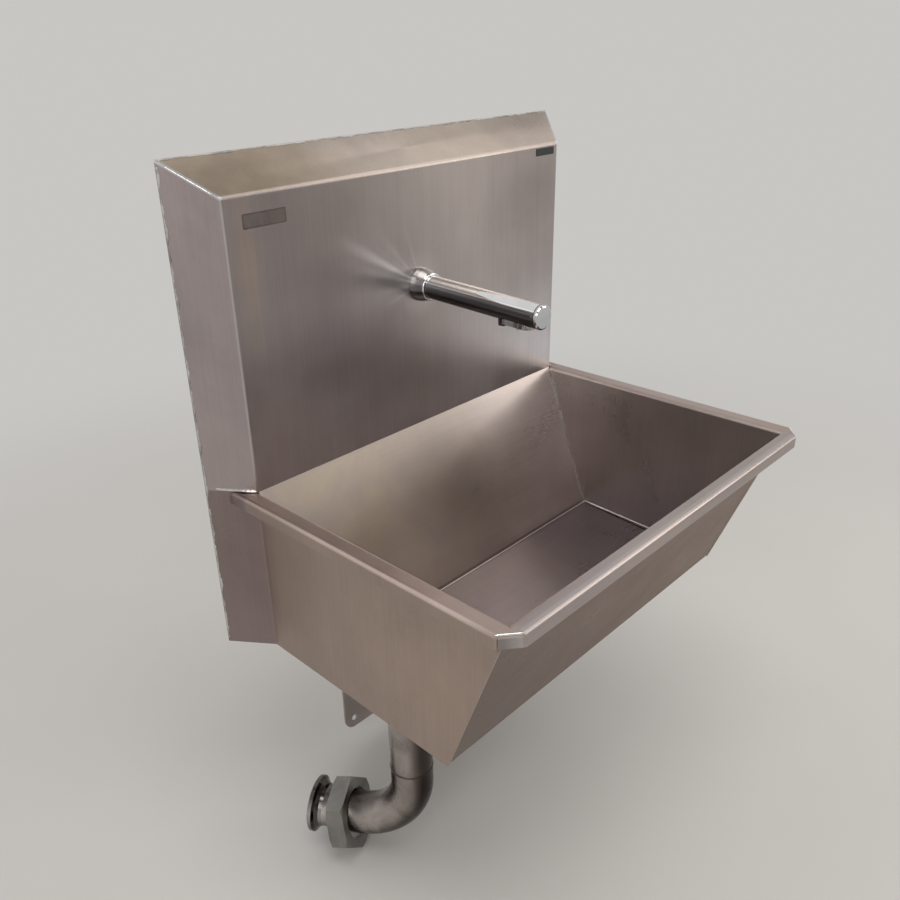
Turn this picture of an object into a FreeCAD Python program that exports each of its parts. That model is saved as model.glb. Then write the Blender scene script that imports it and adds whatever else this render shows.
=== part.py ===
"""Wall-hung stainless steel hand wash sink with a sensor spout.

Millimetres. X runs to the user's right, Y runs into the wall (the wall is the plane y = 0 and
the sink stands out towards -Y), Z is up. The origin lies on the wall, on the sink's centre
line, level with the underside of its back.
"""
import FreeCAD, Part
import math
import os
from FreeCAD import Vector

# ---- driving dimensions ---------------------------------------------------------------------

SHEET = 1.5                # thickness of the folded stainless sheet
BEND = 2.0                 # inside radius of its folds
PLATE = 2.0                # thickness of the wall plate and the hanger

# splash box: a folded box, wider at the wall than at its front
WALL_WIDTH = 440.0
FRONT_WIDTH = 388.0
BOX_DEPTH = 36.0
BOX_TOP_AT_WALL = 411.0
BOX_TOP_AT_FRONT = 385.0
BOX_FOLD = 4.0             # outside radius of its long folds
RETURN = 12.0              # width of the flanges that turn in against the wall

# bowl: a trough between two side panels, with a flat rim turned down at its outer edge
RIM_Z = 152.5
RIM_HALF_WIDTH = 208.2
CORNER_SLOT = 2.6           # gap left beside the strip that closes each front corner
RIM_FRONT = 313.0          # from the wall to the outer edge of the front rim
RIM_FLANGE = 11.0          # height of the turned-down edge
CHAMFER_ACROSS = 16.4      # cut of the two front corners, along the front
CHAMFER_DEEP = 13.2        # and along the sides
MOUTH_FRONT = 300.0        # from the wall to the top of the front wall
FLOOR_BACK_Y = 91.5        # from the wall to the crease of floor and back wall
FLOOR_BACK_Z = 4.5
FLOOR_FRONT_Y = 242.5
FLOOR_FRONT_Z = -2.0
SIDE_FRONT_Z = -3.5        # lowest point of the side panels, at the front

# lower wall plate
PLATE_HALF_WIDTH = 100.0
PLATE_BOTTOM = -189.0
PLATE_CROSS_HEIGHT = 40.0
PLATE_CORNER = 13.0
PLATE_TAB = 1.0             # overlap of the leg with the arms
SCREW_HALF_SPACING = 88.0
SCREW_LOW_Z = -177.0
SCREW_HIGH_Z = -25.0
SCREW_HOLE_R = 3.25

# joggled hanger on the wall and the tongue that drops behind its lip
HANGER_HALF_WIDTH = 150.0
HANGER_BOTTOM = 318.0
HANGER_JOGGLE_Z = 354.0
HANGER_JOGGLE = 6.0
HANGER_LIP_TOP = 382.0
HANGER_POCKET = 3.0
SLOT_X = 120.0
SLOT_Z = 340.0
SLOT_R = 3.5
SLOT_LENGTH = 16.0

# drain cup and strainer in the bowl's floor
DRAIN_HOLE_R = 32.0
DRAIN_LIP_R = 38.0
DRAIN_LIP_BEVEL = 2.0
DRAIN_WALL = 1.2
DRAIN_SEAT_R = 29.4
DRAIN_SEAT_DEPTH = 4.0
DRAIN_LEDGE = 3.4          # width of the ledge that carries the strainer
DRAIN_DEPTH = 14.0
STRAINER_R = 28.6
STRAINER_THICKNESS = 1.5
STRAINER_GAP = 0.3
STRAINER_HOLE_R = 3.0
STRAINER_RINGS = ((11.5, 5), (20.0, 10))  # radius, and number of holes on it
KNOB_R = 5.0
KNOB_NECK_R = 3.0
KNOB_NECK = 2.0
KNOB_HEAD = 3.6

# waste
WASTE_X = -144.5
WASTE_Y = -150.8
WASTE_R = 19.05            # 38.1 mm tube
WASTE_WALL = 1.6
TAIL_GAP = 0.8             # between drain cup and tail tube, filled by the weld
ELBOW_TOP_Z = -99.5        # weld of tail tube and elbow
ELBOW_UPPER = 17.0         # straight ends of the elbow
ELBOW_LOWER = 13.5
ELBOW_RADIUS = 57.0
OUTLET_HEADING = 28.5      # degrees from the wall's normal towards the left
LINER_LENGTH = 27.0
LINER_FLARE = 12.0         # length over which its end opens into the flange
LINER_FLANGE_R = 25.5
LINER_FACE_WIDTH = 4.0
LINER_BEVEL = 1.0
NUT_ACROSS_FLATS = 61.8
NUT_LENGTH = 17.0
NUT_CHAMFER = 1.5
NUT_AT = -14.8             # near face, from the weld of elbow and liner
NUT_DROP = 1.8             # the loose nut hangs this far below the tube's axis
NUT_LEAN = 13.4            # degrees that its axis leans down
NUT_ROLL = -46.4           # degrees that it happens to be turned
NUT_LIP_R = 22.8
NUT_THREAD_R = 27.4
NUT_LIP = 4.0

# spout; distances along it count from the panel
TAP_Z = 284.5
SPOUT_R = 10.2
SPOUT_WALL = 1.2
SPOUT_REACH = 137.5
SPOUT_DROOP = 2.0          # degrees that it leans down
SPOUT_CAP = 3.6
CAP_PLUG = 2.2
CAP_BEVEL = 1.6
COLLAR_R = 15.0
COLLAR_LENGTH = 14.0
COLLAR_CLEARANCE = 0.6
COLLAR_END_WALL = 1.3
COLLAR_SKIRT = 2.0
COLLAR_BEVEL = 1.2
SHANK_R = 10.2
SHANK_BORE_R = 3.4
SHANK_LENGTH = 15.5
TAP_HOLE_GAP = 1.0
SHANK_PLUG_START = 0.8
SHANK_PLUG = 6.0
WASHER_R = 16.0
WASHER_THICKNESS = 1.8
BACKNUT_AF = 30.0
BACKNUT_LENGTH = 4.2
WATER_TUBE_R = 4.0
WATER_TUBE_WALL = 1.0
WATER_TUBE_START = 2.5
HOUSING_AT = 96.5
HOUSING_LENGTH = 31.0
HOUSING_HALF_WIDTH = 7.0
HOUSING_DROP = 1.9         # how far the housing stands out below the tube
HOUSING_LIP = 3.0
HOUSING_TOP = 4.2          # below the spout's axis
TOWER_TOP = 7.5
LENS_AT = 94.5
LENS_LENGTH = 8.5
LENS_HALF_WIDTH = 4.5
LENS_DROP = 3.0
LENS_RISE = 0.6
LENS_TOP = 2.0
AERATOR_AT = 116.5
AERATOR_R = 6.0
AERATOR_GAP = 0.3
AERATOR_WALL = 1.6
AERATOR_DROP = 1.4
AERATOR_TOP = 3.4
AERATOR_RECESS = 3.0
NOTCH_WIDTH = 1.8
NOTCH_DEPTH = 1.2

# water supply behind and below the bowl, from the spout down to the inlet
RUNNING_GAP = 0.06         # of pieces that move in one another
SUPPLY_Y = -17.0           # axis of the supply tube, valves and inlet
SUPPLY_R = 7.5
SUPPLY_WALL = 1.0
ELBOW_BODY_R = 12.6
ELBOW_LEG_R = 10.4
ELBOW_LEG = 16.0
ELBOW_BEVEL = 2.0
ELBOW_SOCKET = 6.8
TUBE_SOCKET = 6.0
TUBE_BOTTOM = -58.0
NUT_HEIGHT = 11.0
NUT_AF = 22.0
CLIP_Z = 20.0
CLIP_WIDTH = 12.0
CLIP_WALL = 2.0
CLIP_FOOT = 10.0
SOLENOID_Z = -84.0
SOLENOID_BOTTOM = -112.0
SOLENOID_R = 12.5
SOLENOID_NECK_R = 9.3
SOLENOID_BORE_R = 6.0
SOLENOID_BRIDGE = 5.0
BONNET_R = 15.0
BONNET_LENGTH = 17.0
SEAT_AT = 4.0
SEAT_THICKNESS = 2.0
CORE_R = 4.0
CORE_LENGTH = 30.0
COIL_HALF = 14.0
COIL_LENGTH = 26.0
COIL_ROUNDING = 3.5
COIL_CAP_R = 6.5
COIL_CAP = 4.0
ISOLATOR_R = 12.2
ISOLATOR_BOTTOM = -164.0
HEX_AF = 25.0
HEX_HEIGHT = 10.0
INLET_BOTTOM = -178.0
INLET_R = 10.48            # half-inch pipe thread
BALL_Z = -138.0
BALL_R = 8.2
BALL_GAP = 0.3
BALL_BORE_R = 5.5
BALL_BANDS = 8
BOSS_R = 7.0
BOSS_LENGTH = 17.5
STEM_R = 3.4
LEVER_AT = 18.0
LEVER_LENGTH = 30.0
LEVER_WIDTH = 8.0
LEVER_THICKNESS = 2.8
HUB_R = 6.0
HUB_LENGTH = 4.0
FILTER_R = 5.7
FILTER_WALL = 0.8
FILTER_LENGTH = 12.0

# control box of the sensor
CASE_X = (30.0, 96.0)
CASE_Z = (-152.0, -44.0)
CASE_DEPTH = 30.0
CASE_WALL = 2.0
CASE_ROUNDING = 5.0
LID_DEPTH = 9.0
LID_WALL = 1.8
LID_GAP = 0.3
GLAND_X = 48.0
GLAND_R = 4.0
GLAND_BORE_R = 2.0
GLAND_AF = 13.0
GLAND_COLLAR = 5.0
BATTERY_SIDE_GAP = 8.0
BATTERY_DEPTH = 21.0
BATTERY_HEIGHT = 38.0
BATTERY_ROUNDING = 4.0
CONTACT_SPACING = 18.0
CONTACT_R = 3.5
CONTACT_HEIGHT = 2.0
BOARD_SIDE_GAP = 7.0
BOARD_TOP_GAP = 10.0
BOARD_HEIGHT = 42.0
BOARD_THICKNESS = 1.6
POST_R = 2.2
POST_LENGTH = 5.0
POST_INSET = 4.0
RELAY_HEIGHT = 8.4
TERMINAL_HEIGHT = 7.4

HALF_FRONT = FRONT_WIDTH / 2
HALF_WALL = WALL_WIDTH / 2
WASTE_BORE_R = WASTE_R - WASTE_WALL
UP = Vector(0, 0, 1)
RIGHT = Vector(1, 0, 0)
TO_WALL = Vector(0, 1, 0)


# ---- helpers --------------------------------------------------------------------------------

def box(x0, x1, y0, y1, z0, z1):
    """A block between two corners."""
    return Part.makeBox(x1 - x0, y1 - y0, z1 - z0, Vector(x0, y0, z0))


def rod(start, axis, radius, length):
    """A round bar from start along axis."""
    return Part.makeCylinder(radius, length, start, axis)


def tube(start, axis, radius, bore, length):
    """A straight tube from start along axis."""
    return rod(start, axis, radius, length).cut(rod(start, axis, bore, length))


def hexagon(start, axis, across_flats, length, flat_towards):
    """A hexagonal bar from start along axis, with one flat facing flat_towards."""
    side = axis.cross(flat_towards)
    side.normalize()
    corner_r = across_flats / math.sqrt(3)
    corners = []
    for step in range(7):
        angle = math.radians(60 * step)
        across = side * (corner_r * math.cos(angle))
        corners.append(start + across + flat_towards * (corner_r * math.sin(angle)))
    return Part.Face(Part.makePolygon(corners)).extrude(axis * length)


def prism(points, direction):
    """A straight prism over a closed outline."""
    return Part.Face(Part.makePolygon(points + [points[0]])).extrude(direction)


def revolve(profile, start, axis, across):
    """A turned piece: profile holds (distance along axis, radius) pairs of a closed outline."""
    points = [start + axis * along + across * radius for along, radius in profile]
    return Part.Face(Part.makePolygon(points + [points[0]])).revolve(start, axis, 360)


def offset_path(points, distance):
    """The path moved to its left by distance, with its corners kept sharp."""
    lines = []
    for (u0, v0), (u1, v1) in zip(points, points[1:]):
        length = math.hypot(u1 - u0, v1 - v0)
        nu, nv = -(v1 - v0) / length, (u1 - u0) / length
        lines.append(((u0 + nu * distance, v0 + nv * distance), (u1 + nu * distance, v1 + nv * distance)))
    moved = [lines[0][0]]
    for ((a0, b0), (a1, b1)), ((c0, d0), (c1, d1)) in zip(lines, lines[1:]):
        cross = (a1 - a0) * (d1 - d0) - (b1 - b0) * (c1 - c0)
        share = ((c0 - a0) * (d1 - d0) - (d0 - b0) * (c1 - c0)) / cross
        moved.append((a0 + share * (a1 - a0), b0 + share * (b1 - b0)))
    moved.append(lines[-1][1])
    return moved


def rounded_edges(points, radii, plane):
    """Lines and tangent arcs along a path, one radius for each inner point."""
    edges = []
    start = points[0]
    for before, corner, after, radius in zip(points, points[1:], points[2:], radii):
        d1 = Vector(corner[0] - before[0], corner[1] - before[1], 0).normalize()
        d2 = Vector(after[0] - corner[0], after[1] - corner[1], 0).normalize()
        half_turn = d1.getAngle(d2) / 2
        reach = radius * math.tan(half_turn)
        inward = (d2 - d1).normalize()
        middle = radius / math.cos(half_turn) - radius
        first = (corner[0] - d1.x * reach, corner[1] - d1.y * reach)
        centre = (corner[0] + inward.x * middle, corner[1] + inward.y * middle)
        last = (corner[0] + d2.x * reach, corner[1] + d2.y * reach)
        edges.append(Part.makeLine(plane(*start), plane(*first)))
        edges.append(Part.Arc(plane(*first), plane(*centre), plane(*last)).toShape())
        start = last
    edges.append(Part.makeLine(plane(*start), plane(*points[-1])))
    return edges


def folded_sheet(points, thickness, plane, direction):
    """Sheet folded along a path, its thickness on the path's left, extruded along direction."""
    outer_radii = []
    inner_radii = []
    for (u0, v0), (u1, v1), (u2, v2) in zip(points, points[1:], points[2:]):
        turns_left = (u1 - u0) * (v2 - v1) - (v1 - v0) * (u2 - u1) > 0
        outer_radii.append(BEND + thickness if turns_left else BEND)
        inner_radii.append(BEND if turns_left else BEND + thickness)
    back = offset_path(points, thickness)
    front_edges = rounded_edges(points, outer_radii, plane)
    back_edges = rounded_edges(back, inner_radii, plane)
    ends = [
        Part.makeLine(plane(*points[0]), plane(*back[0])),
        Part.makeLine(plane(*points[-1]), plane(*back[-1])),
    ]
    outline = Part.Wire(Part.sortEdges(front_edges + back_edges + ends)[0])
    return Part.Face(outline).extrude(direction)


def mirrored(shape):
    """The same piece on the other side of the sink."""
    return shape.mirror(Vector(0, 0, 0), RIGHT)


def export(name, shape):
    """One sub-part, written as its own file."""
    if not shape.isValid():
        raise ValueError(name + " is not a valid shape")
    solids = shape.Solids
    if not solids:
        raise ValueError(name + " holds no solid")
    clean = solids[0] if len(solids) == 1 else Part.makeCompound(solids)
    clean.exportStep("parts/" + name + ".step")
    print(name, len(solids), "solid(s), volume", round(shape.Volume))


# ---- splash box -----------------------------------------------------------------------------

def box_block(shrink):
    """The solid wedge that the splash box encloses, shrunk by shrink on every closed side."""
    slope = (BOX_TOP_AT_WALL - BOX_TOP_AT_FRONT) / BOX_DEPTH
    drop = shrink * math.hypot(1, slope)
    splay = (HALF_WALL - HALF_FRONT) / BOX_DEPTH
    narrow = shrink * math.hypot(1, splay)
    front_y = -BOX_DEPTH + shrink
    half_front = HALF_FRONT - narrow + splay * shrink
    plan = [
        Vector(-HALF_WALL + narrow, 0, RIM_Z),
        Vector(-half_front, front_y, RIM_Z),
        Vector(half_front, front_y, RIM_Z),
        Vector(HALF_WALL - narrow, 0, RIM_Z),
    ]
    block = prism(plan, UP * (BOX_TOP_AT_WALL - RIM_Z))
    top_at_front = BOX_TOP_AT_FRONT - drop + slope * shrink
    above = [
        Vector(-WALL_WIDTH, 0, BOX_TOP_AT_WALL - drop),
        Vector(-WALL_WIDTH, front_y, top_at_front),
        Vector(-WALL_WIDTH, front_y - BOX_DEPTH, top_at_front - slope * BOX_DEPTH),
        Vector(-WALL_WIDTH, front_y - BOX_DEPTH, 2 * BOX_TOP_AT_WALL),
        Vector(-WALL_WIDTH, 0, 2 * BOX_TOP_AT_WALL),
    ]
    block = block.cut(prism(above, RIGHT * (2 * WALL_WIDTH)))
    folds = []
    for edge in block.Edges:
        ends = [vertex.Point for vertex in edge.Vertexes]
        on_front = all(abs(end.y - front_y) < 1e-3 for end in ends)
        on_bottom = all(abs(end.z - RIM_Z) < 1e-3 for end in ends)
        if on_front and not on_bottom:
            folds.append(edge)
    return block.makeFillet(BOX_FOLD - shrink, folds)


def splash_box():
    """Front panel, sloping top and splayed sides, folded from one sheet and open to the wall."""
    shell = box_block(0).cut(box_block(SHEET))
    returns = box_block(0).common(box(-HALF_WALL, HALF_WALL, -SHEET, 0, RIM_Z, BOX_TOP_AT_WALL))
    inner = box(-HALF_WALL + RETURN, HALF_WALL - RETURN, -SHEET, 0, RIM_Z, BOX_TOP_AT_WALL - RETURN)
    shell = shell.fuse(returns.cut(inner))
    tap_hole = rod(Vector(0, -2 * BOX_DEPTH, TAP_Z), TO_WALL, SHANK_R + TAP_HOLE_GAP, 1.5 * BOX_DEPTH)
    return shell.cut(tap_hole).removeSplitter()


# ---- bowl -----------------------------------------------------------------------------------

def across_plane(u, v):
    """Profile plane seen from the side: u is the distance out from the wall, v the height."""
    return Vector(-HALF_WALL, -u, v)


def chamfer_line(sign):
    """The two ends of the cut across one front corner of the rim, seen from above."""
    beside = (sign * RIM_HALF_WIDTH, -(RIM_FRONT - CHAMFER_DEEP))
    ahead = (sign * (RIM_HALF_WIDTH - CHAMFER_ACROSS), -RIM_FRONT)
    return beside, ahead


def corner_trim(sign):
    """The corner of the rim that the chamfer takes off."""
    beside, ahead = chamfer_line(sign)
    run = (beside[0] - ahead[0], beside[1] - ahead[1])
    plan = [
        (beside[0] + run[0], beside[1] + run[1]),
        (sign * 2 * RIM_HALF_WIDTH, -2 * RIM_FRONT),
        (ahead[0] - run[0], ahead[1] - run[1]),
    ]
    return prism([Vector(u, v, RIM_Z - 2 * RIM_FLANGE) for u, v in plan], UP * 3 * RIM_FLANGE)


def mitre_side(sign):
    """All that lies on the side panel's side of the mitre at one front corner of the rim."""
    inner_x = HALF_FRONT - SHEET
    reach = 4 * CHAMFER_DEEP
    plan = [
        Vector(sign * inner_x, -MOUTH_FRONT, -RIM_Z),
        Vector(sign * (inner_x + reach), -MOUTH_FRONT - reach, -RIM_Z),
        Vector(sign * (inner_x + reach), 0, -RIM_Z),
        Vector(sign * inner_x, 0, -RIM_Z),
    ]
    return prism(plan, UP * 3 * RIM_Z)


def bowl_trough():
    """Back wall, floor, front wall and front rim, folded from one sheet."""
    back_run = (FLOOR_BACK_Y - BOX_DEPTH) / (RIM_Z - FLOOR_BACK_Z)
    spare = 4.0
    path = [
        (BOX_DEPTH - back_run * spare, RIM_Z + spare),
        (FLOOR_BACK_Y, FLOOR_BACK_Z),
        (FLOOR_FRONT_Y, FLOOR_FRONT_Z),
        (MOUTH_FRONT, RIM_Z),
        (RIM_FRONT, RIM_Z),
        (RIM_FRONT, RIM_Z - RIM_FLANGE),
    ]
    sheet = folded_sheet(path[::-1], SHEET, across_plane, RIGHT * WALL_WIDTH)
    sheet = sheet.cut(box(-HALF_WALL, HALF_WALL, -BOX_DEPTH - 5, 0, RIM_Z, RIM_Z + 10))
    for sign in (-1, 1):
        sheet = sheet.cut(mitre_side(sign)).cut(corner_trim(sign))
    inner = HALF_FRONT - SHEET
    for x0, x1 in ((-HALF_WALL, -inner), (inner, HALF_WALL)):
        sheet = sheet.cut(box(x0, x1, -MOUTH_FRONT - 5, 0, -RIM_Z, RIM_Z - SHEET - BEND))
    drain = rod(DRAIN_CENTRE - UP * 20, UP, DRAIN_HOLE_R, 40)
    return sheet.cut(with_the_floor(drain)).removeSplitter()


def bowl_side():
    """Left side panel: flat beside the bowl, splayed to the wall, its top folded into the rim."""
    splay = (HALF_WALL - HALF_FRONT) / BOX_DEPTH
    spare = 5.0
    plan = [
        (-HALF_WALL - splay * spare, spare),
        (-HALF_FRONT, -BOX_DEPTH),
        (-HALF_FRONT, -RIM_FRONT),
    ]
    panel = folded_sheet(plan, SHEET, lambda x, y: Vector(x, y, -RIM_Z), UP * (2 * RIM_Z))
    panel = panel.cut(box(-2 * HALF_WALL, 0, 0, 2 * spare, -2 * RIM_Z, 2 * RIM_Z))
    flange = [
        Vector(-HALF_WALL, 0, -RIM_Z),
        Vector(-HALF_WALL + splay * SHEET, -SHEET, -RIM_Z),
        Vector(-HALF_WALL + RETURN, -SHEET, -RIM_Z),
        Vector(-HALF_WALL + RETURN, 0, -RIM_Z),
    ]
    panel = panel.fuse(prism(flange, UP * (2 * RIM_Z)))
    below = [
        Vector(-HALF_WALL, 1, 0),
        Vector(-HALF_WALL, -BOX_DEPTH, 0),
        Vector(-HALF_WALL, -FLOOR_FRONT_Y - SHEET, SIDE_FRONT_Z),
        Vector(-HALF_WALL, -MOUTH_FRONT - SHEET, RIM_Z),
        Vector(-HALF_WALL, -2 * RIM_FRONT, RIM_Z),
        Vector(-HALF_WALL, -2 * RIM_FRONT, -2 * RIM_Z),
        Vector(-HALF_WALL, 1, -2 * RIM_Z),
    ]
    panel = panel.cut(prism(below, RIGHT * WALL_WIDTH))
    fold_height = SHEET + BEND
    panel = panel.cut(box(-HALF_WALL - 1, 0, -RIM_FRONT, -BOX_DEPTH, RIM_Z - fold_height, 2 * RIM_Z))
    panel = panel.cut(box(-HALF_WALL - 1, 0, -RIM_FRONT, 1, RIM_Z, 2 * RIM_Z))
    rim_path = [
        (-HALF_FRONT + SHEET, RIM_Z - fold_height - 0.001),
        (-HALF_FRONT + SHEET, RIM_Z),
        (-RIM_HALF_WIDTH, RIM_Z),
        (-RIM_HALF_WIDTH, RIM_Z - RIM_FLANGE),
    ]
    rim = folded_sheet(rim_path, SHEET, lambda x, z: Vector(x, -RIM_FRONT, z), TO_WALL * RIM_FRONT)
    rim = rim.common(mitre_side(-1)).cut(corner_trim(-1))
    box_plan = [
        Vector(-HALF_WALL, 0, 0),
        Vector(-HALF_FRONT, -BOX_DEPTH, 0),
        Vector(HALF_FRONT, -BOX_DEPTH, 0),
        Vector(HALF_WALL, 0, 0),
    ]
    rim = rim.cut(prism(box_plan, UP * (2 * RIM_Z)))
    return panel.fuse(rim).removeSplitter()


def corner_cap(neighbours):
    """Strip that closes the turned-down edge across the left front corner."""
    beside, ahead = chamfer_line(-1)
    start = Vector(beside[0], beside[1], RIM_Z - RIM_FLANGE)
    end = Vector(ahead[0], ahead[1], RIM_Z - RIM_FLANGE)
    along = (end - start).normalize()
    inward = UP.cross(along)
    outline = [
        start + along * CORNER_SLOT,
        end,
        end + inward * SHEET,
        start + along * CORNER_SLOT + inward * SHEET,
    ]
    strip = prism(outline, UP * (RIM_FLANGE - SHEET))
    for neighbour in neighbours:
        strip = strip.cut(neighbour)
    return max(strip.Solids, key=lambda solid: solid.Volume)


# ---- wall plate and hanger ------------------------------------------------------------------

def lower_wall_plate():
    """T-shaped plate: its arms tie the side panels at the wall, its leg is screwed to the wall."""
    leg = box(-PLATE_HALF_WIDTH, PLATE_HALF_WIDTH, -PLATE, 0, PLATE_BOTTOM, PLATE_TAB)
    corners = []
    for edge in leg.Edges:
        ends = [vertex.Point for vertex in edge.Vertexes]
        if all(abs(end.z - PLATE_BOTTOM) < 1e-3 for end in ends) and abs(ends[0].x - ends[1].x) < 1e-3:
            corners.append(edge)
    leg = leg.makeFillet(PLATE_CORNER, corners)
    arm = HALF_WALL - RETURN
    plate = leg.fuse(box(-arm, arm, -PLATE, 0, 0, PLATE_CROSS_HEIGHT))
    for x in (-SCREW_HALF_SPACING, SCREW_HALF_SPACING):
        for z in (SCREW_LOW_Z, SCREW_HIGH_Z):
            plate = plate.cut(rod(Vector(x, -2 * PLATE, z), TO_WALL, SCREW_HOLE_R, 4 * PLATE))
    return plate.removeSplitter()


def wall_hanger():
    """Bracket screwed to the wall, with an upturned lip that the sink hangs in."""
    path = [
        (0, HANGER_BOTTOM),
        (0, HANGER_JOGGLE_Z),
        (HANGER_POCKET, HANGER_JOGGLE_Z + HANGER_JOGGLE),
        (HANGER_POCKET, HANGER_LIP_TOP),
    ]
    sheet = folded_sheet(
        path[::-1],
        PLATE,
        lambda u, v: Vector(-HANGER_HALF_WIDTH, -u, v),
        RIGHT * (2 * HANGER_HALF_WIDTH),
    )
    straight = SLOT_LENGTH / 2 - SLOT_R
    for x in (-SLOT_X, SLOT_X):
        slot = box(x - straight, x + straight, -2 * PLATE, PLATE, SLOT_Z - SLOT_R, SLOT_Z + SLOT_R)
        for end in (x - straight, x + straight):
            slot = slot.fuse(rod(Vector(end, -2 * PLATE, SLOT_Z), TO_WALL, SLOT_R, 3 * PLATE))
        sheet = sheet.cut(slot)
    return sheet.removeSplitter()


def hanging_tongue():
    """Strip welded under the box's top flange, whose lower edge wedges behind the hanger's lip."""
    seat = HANGER_JOGGLE_Z + HANGER_JOGGLE * SHEET / HANGER_POCKET
    return box(-HANGER_HALF_WIDTH, HANGER_HALF_WIDTH, -SHEET, 0, seat, BOX_TOP_AT_WALL - RETURN)


# ---- waste ----------------------------------------------------------------------------------

def floor_height(y):
    """Height of the bowl's floor at a distance from the wall."""
    return FLOOR_BACK_Z - math.tan(FLOOR_FALL) * (y - FLOOR_BACK_Y)


FLOOR_FALL = math.atan2(FLOOR_BACK_Z - FLOOR_FRONT_Z, FLOOR_FRONT_Y - FLOOR_BACK_Y)
DRAIN_CENTRE = Vector(WASTE_X, WASTE_Y, floor_height(-WASTE_Y))


def with_the_floor(shape):
    """A piece of the drain, leaning forward with the sloping floor."""
    return shape.rotate(DRAIN_CENTRE, RIGHT, math.degrees(FLOOR_FALL))


def waste_flange():
    """Spun drain cup: a thin lip on the floor, a ledge for the strainer and a dished throat."""
    ledge_r = DRAIN_SEAT_R - DRAIN_LEDGE
    profile = [
        (0.0, DRAIN_LIP_R),
        (DRAIN_WALL, DRAIN_LIP_R - DRAIN_LIP_BEVEL),
        (DRAIN_WALL, DRAIN_SEAT_R + DRAIN_LIP_BEVEL),
        (0.0, DRAIN_SEAT_R),
        (-DRAIN_SEAT_DEPTH, DRAIN_SEAT_R),
        (-DRAIN_SEAT_DEPTH, ledge_r),
        (-DRAIN_DEPTH, WASTE_BORE_R),
        (-DRAIN_DEPTH, WASTE_BORE_R + DRAIN_WALL),
        (-DRAIN_SEAT_DEPTH - DRAIN_WALL, ledge_r + DRAIN_WALL),
        (-DRAIN_SEAT_DEPTH - DRAIN_WALL, DRAIN_SEAT_R + DRAIN_WALL),
        (-SHEET, DRAIN_SEAT_R + DRAIN_WALL),
        (-SHEET, DRAIN_HOLE_R),
        (0.0, DRAIN_HOLE_R),
    ]
    cup = revolve(profile, DRAIN_CENTRE, UP, RIGHT)
    return with_the_floor(cup)


def waste_strainer():
    """Flat perforated disc that rests on the drain's ledge and lifts out by its knob."""
    base = DRAIN_CENTRE - UP * (DRAIN_SEAT_DEPTH - STRAINER_GAP)
    disc = rod(base, UP, STRAINER_R, STRAINER_THICKNESS)
    neck_z = STRAINER_THICKNESS + KNOB_NECK
    profile = [
        (0, 0),
        (0, KNOB_R),
        (neck_z, KNOB_NECK_R),
        (neck_z + KNOB_HEAD / 2, KNOB_R),
        (neck_z + KNOB_HEAD, KNOB_NECK_R),
        (neck_z + KNOB_HEAD, 0),
    ]
    knob = revolve(profile, base, UP, RIGHT)
    for radius, count in STRAINER_RINGS:
        for step in range(count):
            angle = 2 * math.pi * step / count
            spot = base + Vector(radius * math.cos(angle), radius * math.sin(angle), -STRAINER_THICKNESS)
            disc = disc.cut(rod(spot, UP, STRAINER_HOLE_R, 3 * STRAINER_THICKNESS))
    return with_the_floor(disc.fuse(knob))


def waste_tail_tube():
    """Vertical tube from the drain cup to the elbow."""
    top = DRAIN_CENTRE.z - DRAIN_DEPTH - TAIL_GAP
    return tube(Vector(WASTE_X, WASTE_Y, ELBOW_TOP_Z), UP, WASTE_R, WASTE_BORE_R, top - ELBOW_TOP_Z)


OUTLET = Vector(-math.sin(math.radians(OUTLET_HEADING)), math.cos(math.radians(OUTLET_HEADING)), 0)
ACROSS = OUTLET.cross(UP)
BEND_START = Vector(WASTE_X, WASTE_Y, ELBOW_TOP_Z - ELBOW_UPPER)
BEND_CENTRE = BEND_START + OUTLET * ELBOW_RADIUS
BEND_END = BEND_CENTRE - UP * ELBOW_RADIUS
ELBOW_END = BEND_END + OUTLET * ELBOW_LOWER


def waste_elbow():
    """Long-radius quarter bend with straight ends, from the tail tube to the outlet."""
    ring = Part.Face(Part.Wire(Part.makeCircle(WASTE_R, BEND_START, UP)))
    ring = ring.cut(Part.Face(Part.Wire(Part.makeCircle(WASTE_BORE_R, BEND_START, UP))))
    bend = ring.revolve(BEND_CENTRE, ACROSS, 90)
    upper = tube(BEND_START, UP, WASTE_R, WASTE_BORE_R, ELBOW_UPPER)
    lower = tube(BEND_END, OUTLET, WASTE_R, WASTE_BORE_R, ELBOW_LOWER)
    return bend.fuse(upper).fuse(lower)


def union_liner():
    """Short outlet tube whose end is spun out into the sealing flange of the union."""
    neck = LINER_LENGTH - LINER_FLARE
    face_r = LINER_FLANGE_R - LINER_FACE_WIDTH
    profile = [
        (0, WASTE_BORE_R),
        (0, WASTE_R),
        (neck, WASTE_R),
        (neck + LINER_FLARE * 0.25, WASTE_R + 0.14 * (LINER_FLANGE_R - WASTE_R)),
        (neck + LINER_FLARE * 0.50, WASTE_R + 0.52 * (LINER_FLANGE_R - WASTE_R)),
        (neck + LINER_FLARE * 0.66, LINER_FLANGE_R),
        (LINER_LENGTH - LINER_BEVEL, LINER_FLANGE_R),
        (LINER_LENGTH, LINER_FLANGE_R - LINER_BEVEL),
        (LINER_LENGTH, face_r),
        (LINER_LENGTH - LINER_BEVEL, face_r - LINER_BEVEL),
        (LINER_LENGTH - 2 * LINER_BEVEL, WASTE_BORE_R),
    ]
    return revolve(profile, ELBOW_END, OUTLET, UP)


NUT_AXIS = (OUTLET * math.cos(math.radians(NUT_LEAN)) - UP * math.sin(math.radians(NUT_LEAN))).normalize()
NUT_TOP = ACROSS.cross(NUT_AXIS).normalize()
NUT_START = ELBOW_END + OUTLET * NUT_AT - UP * NUT_DROP


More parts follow.
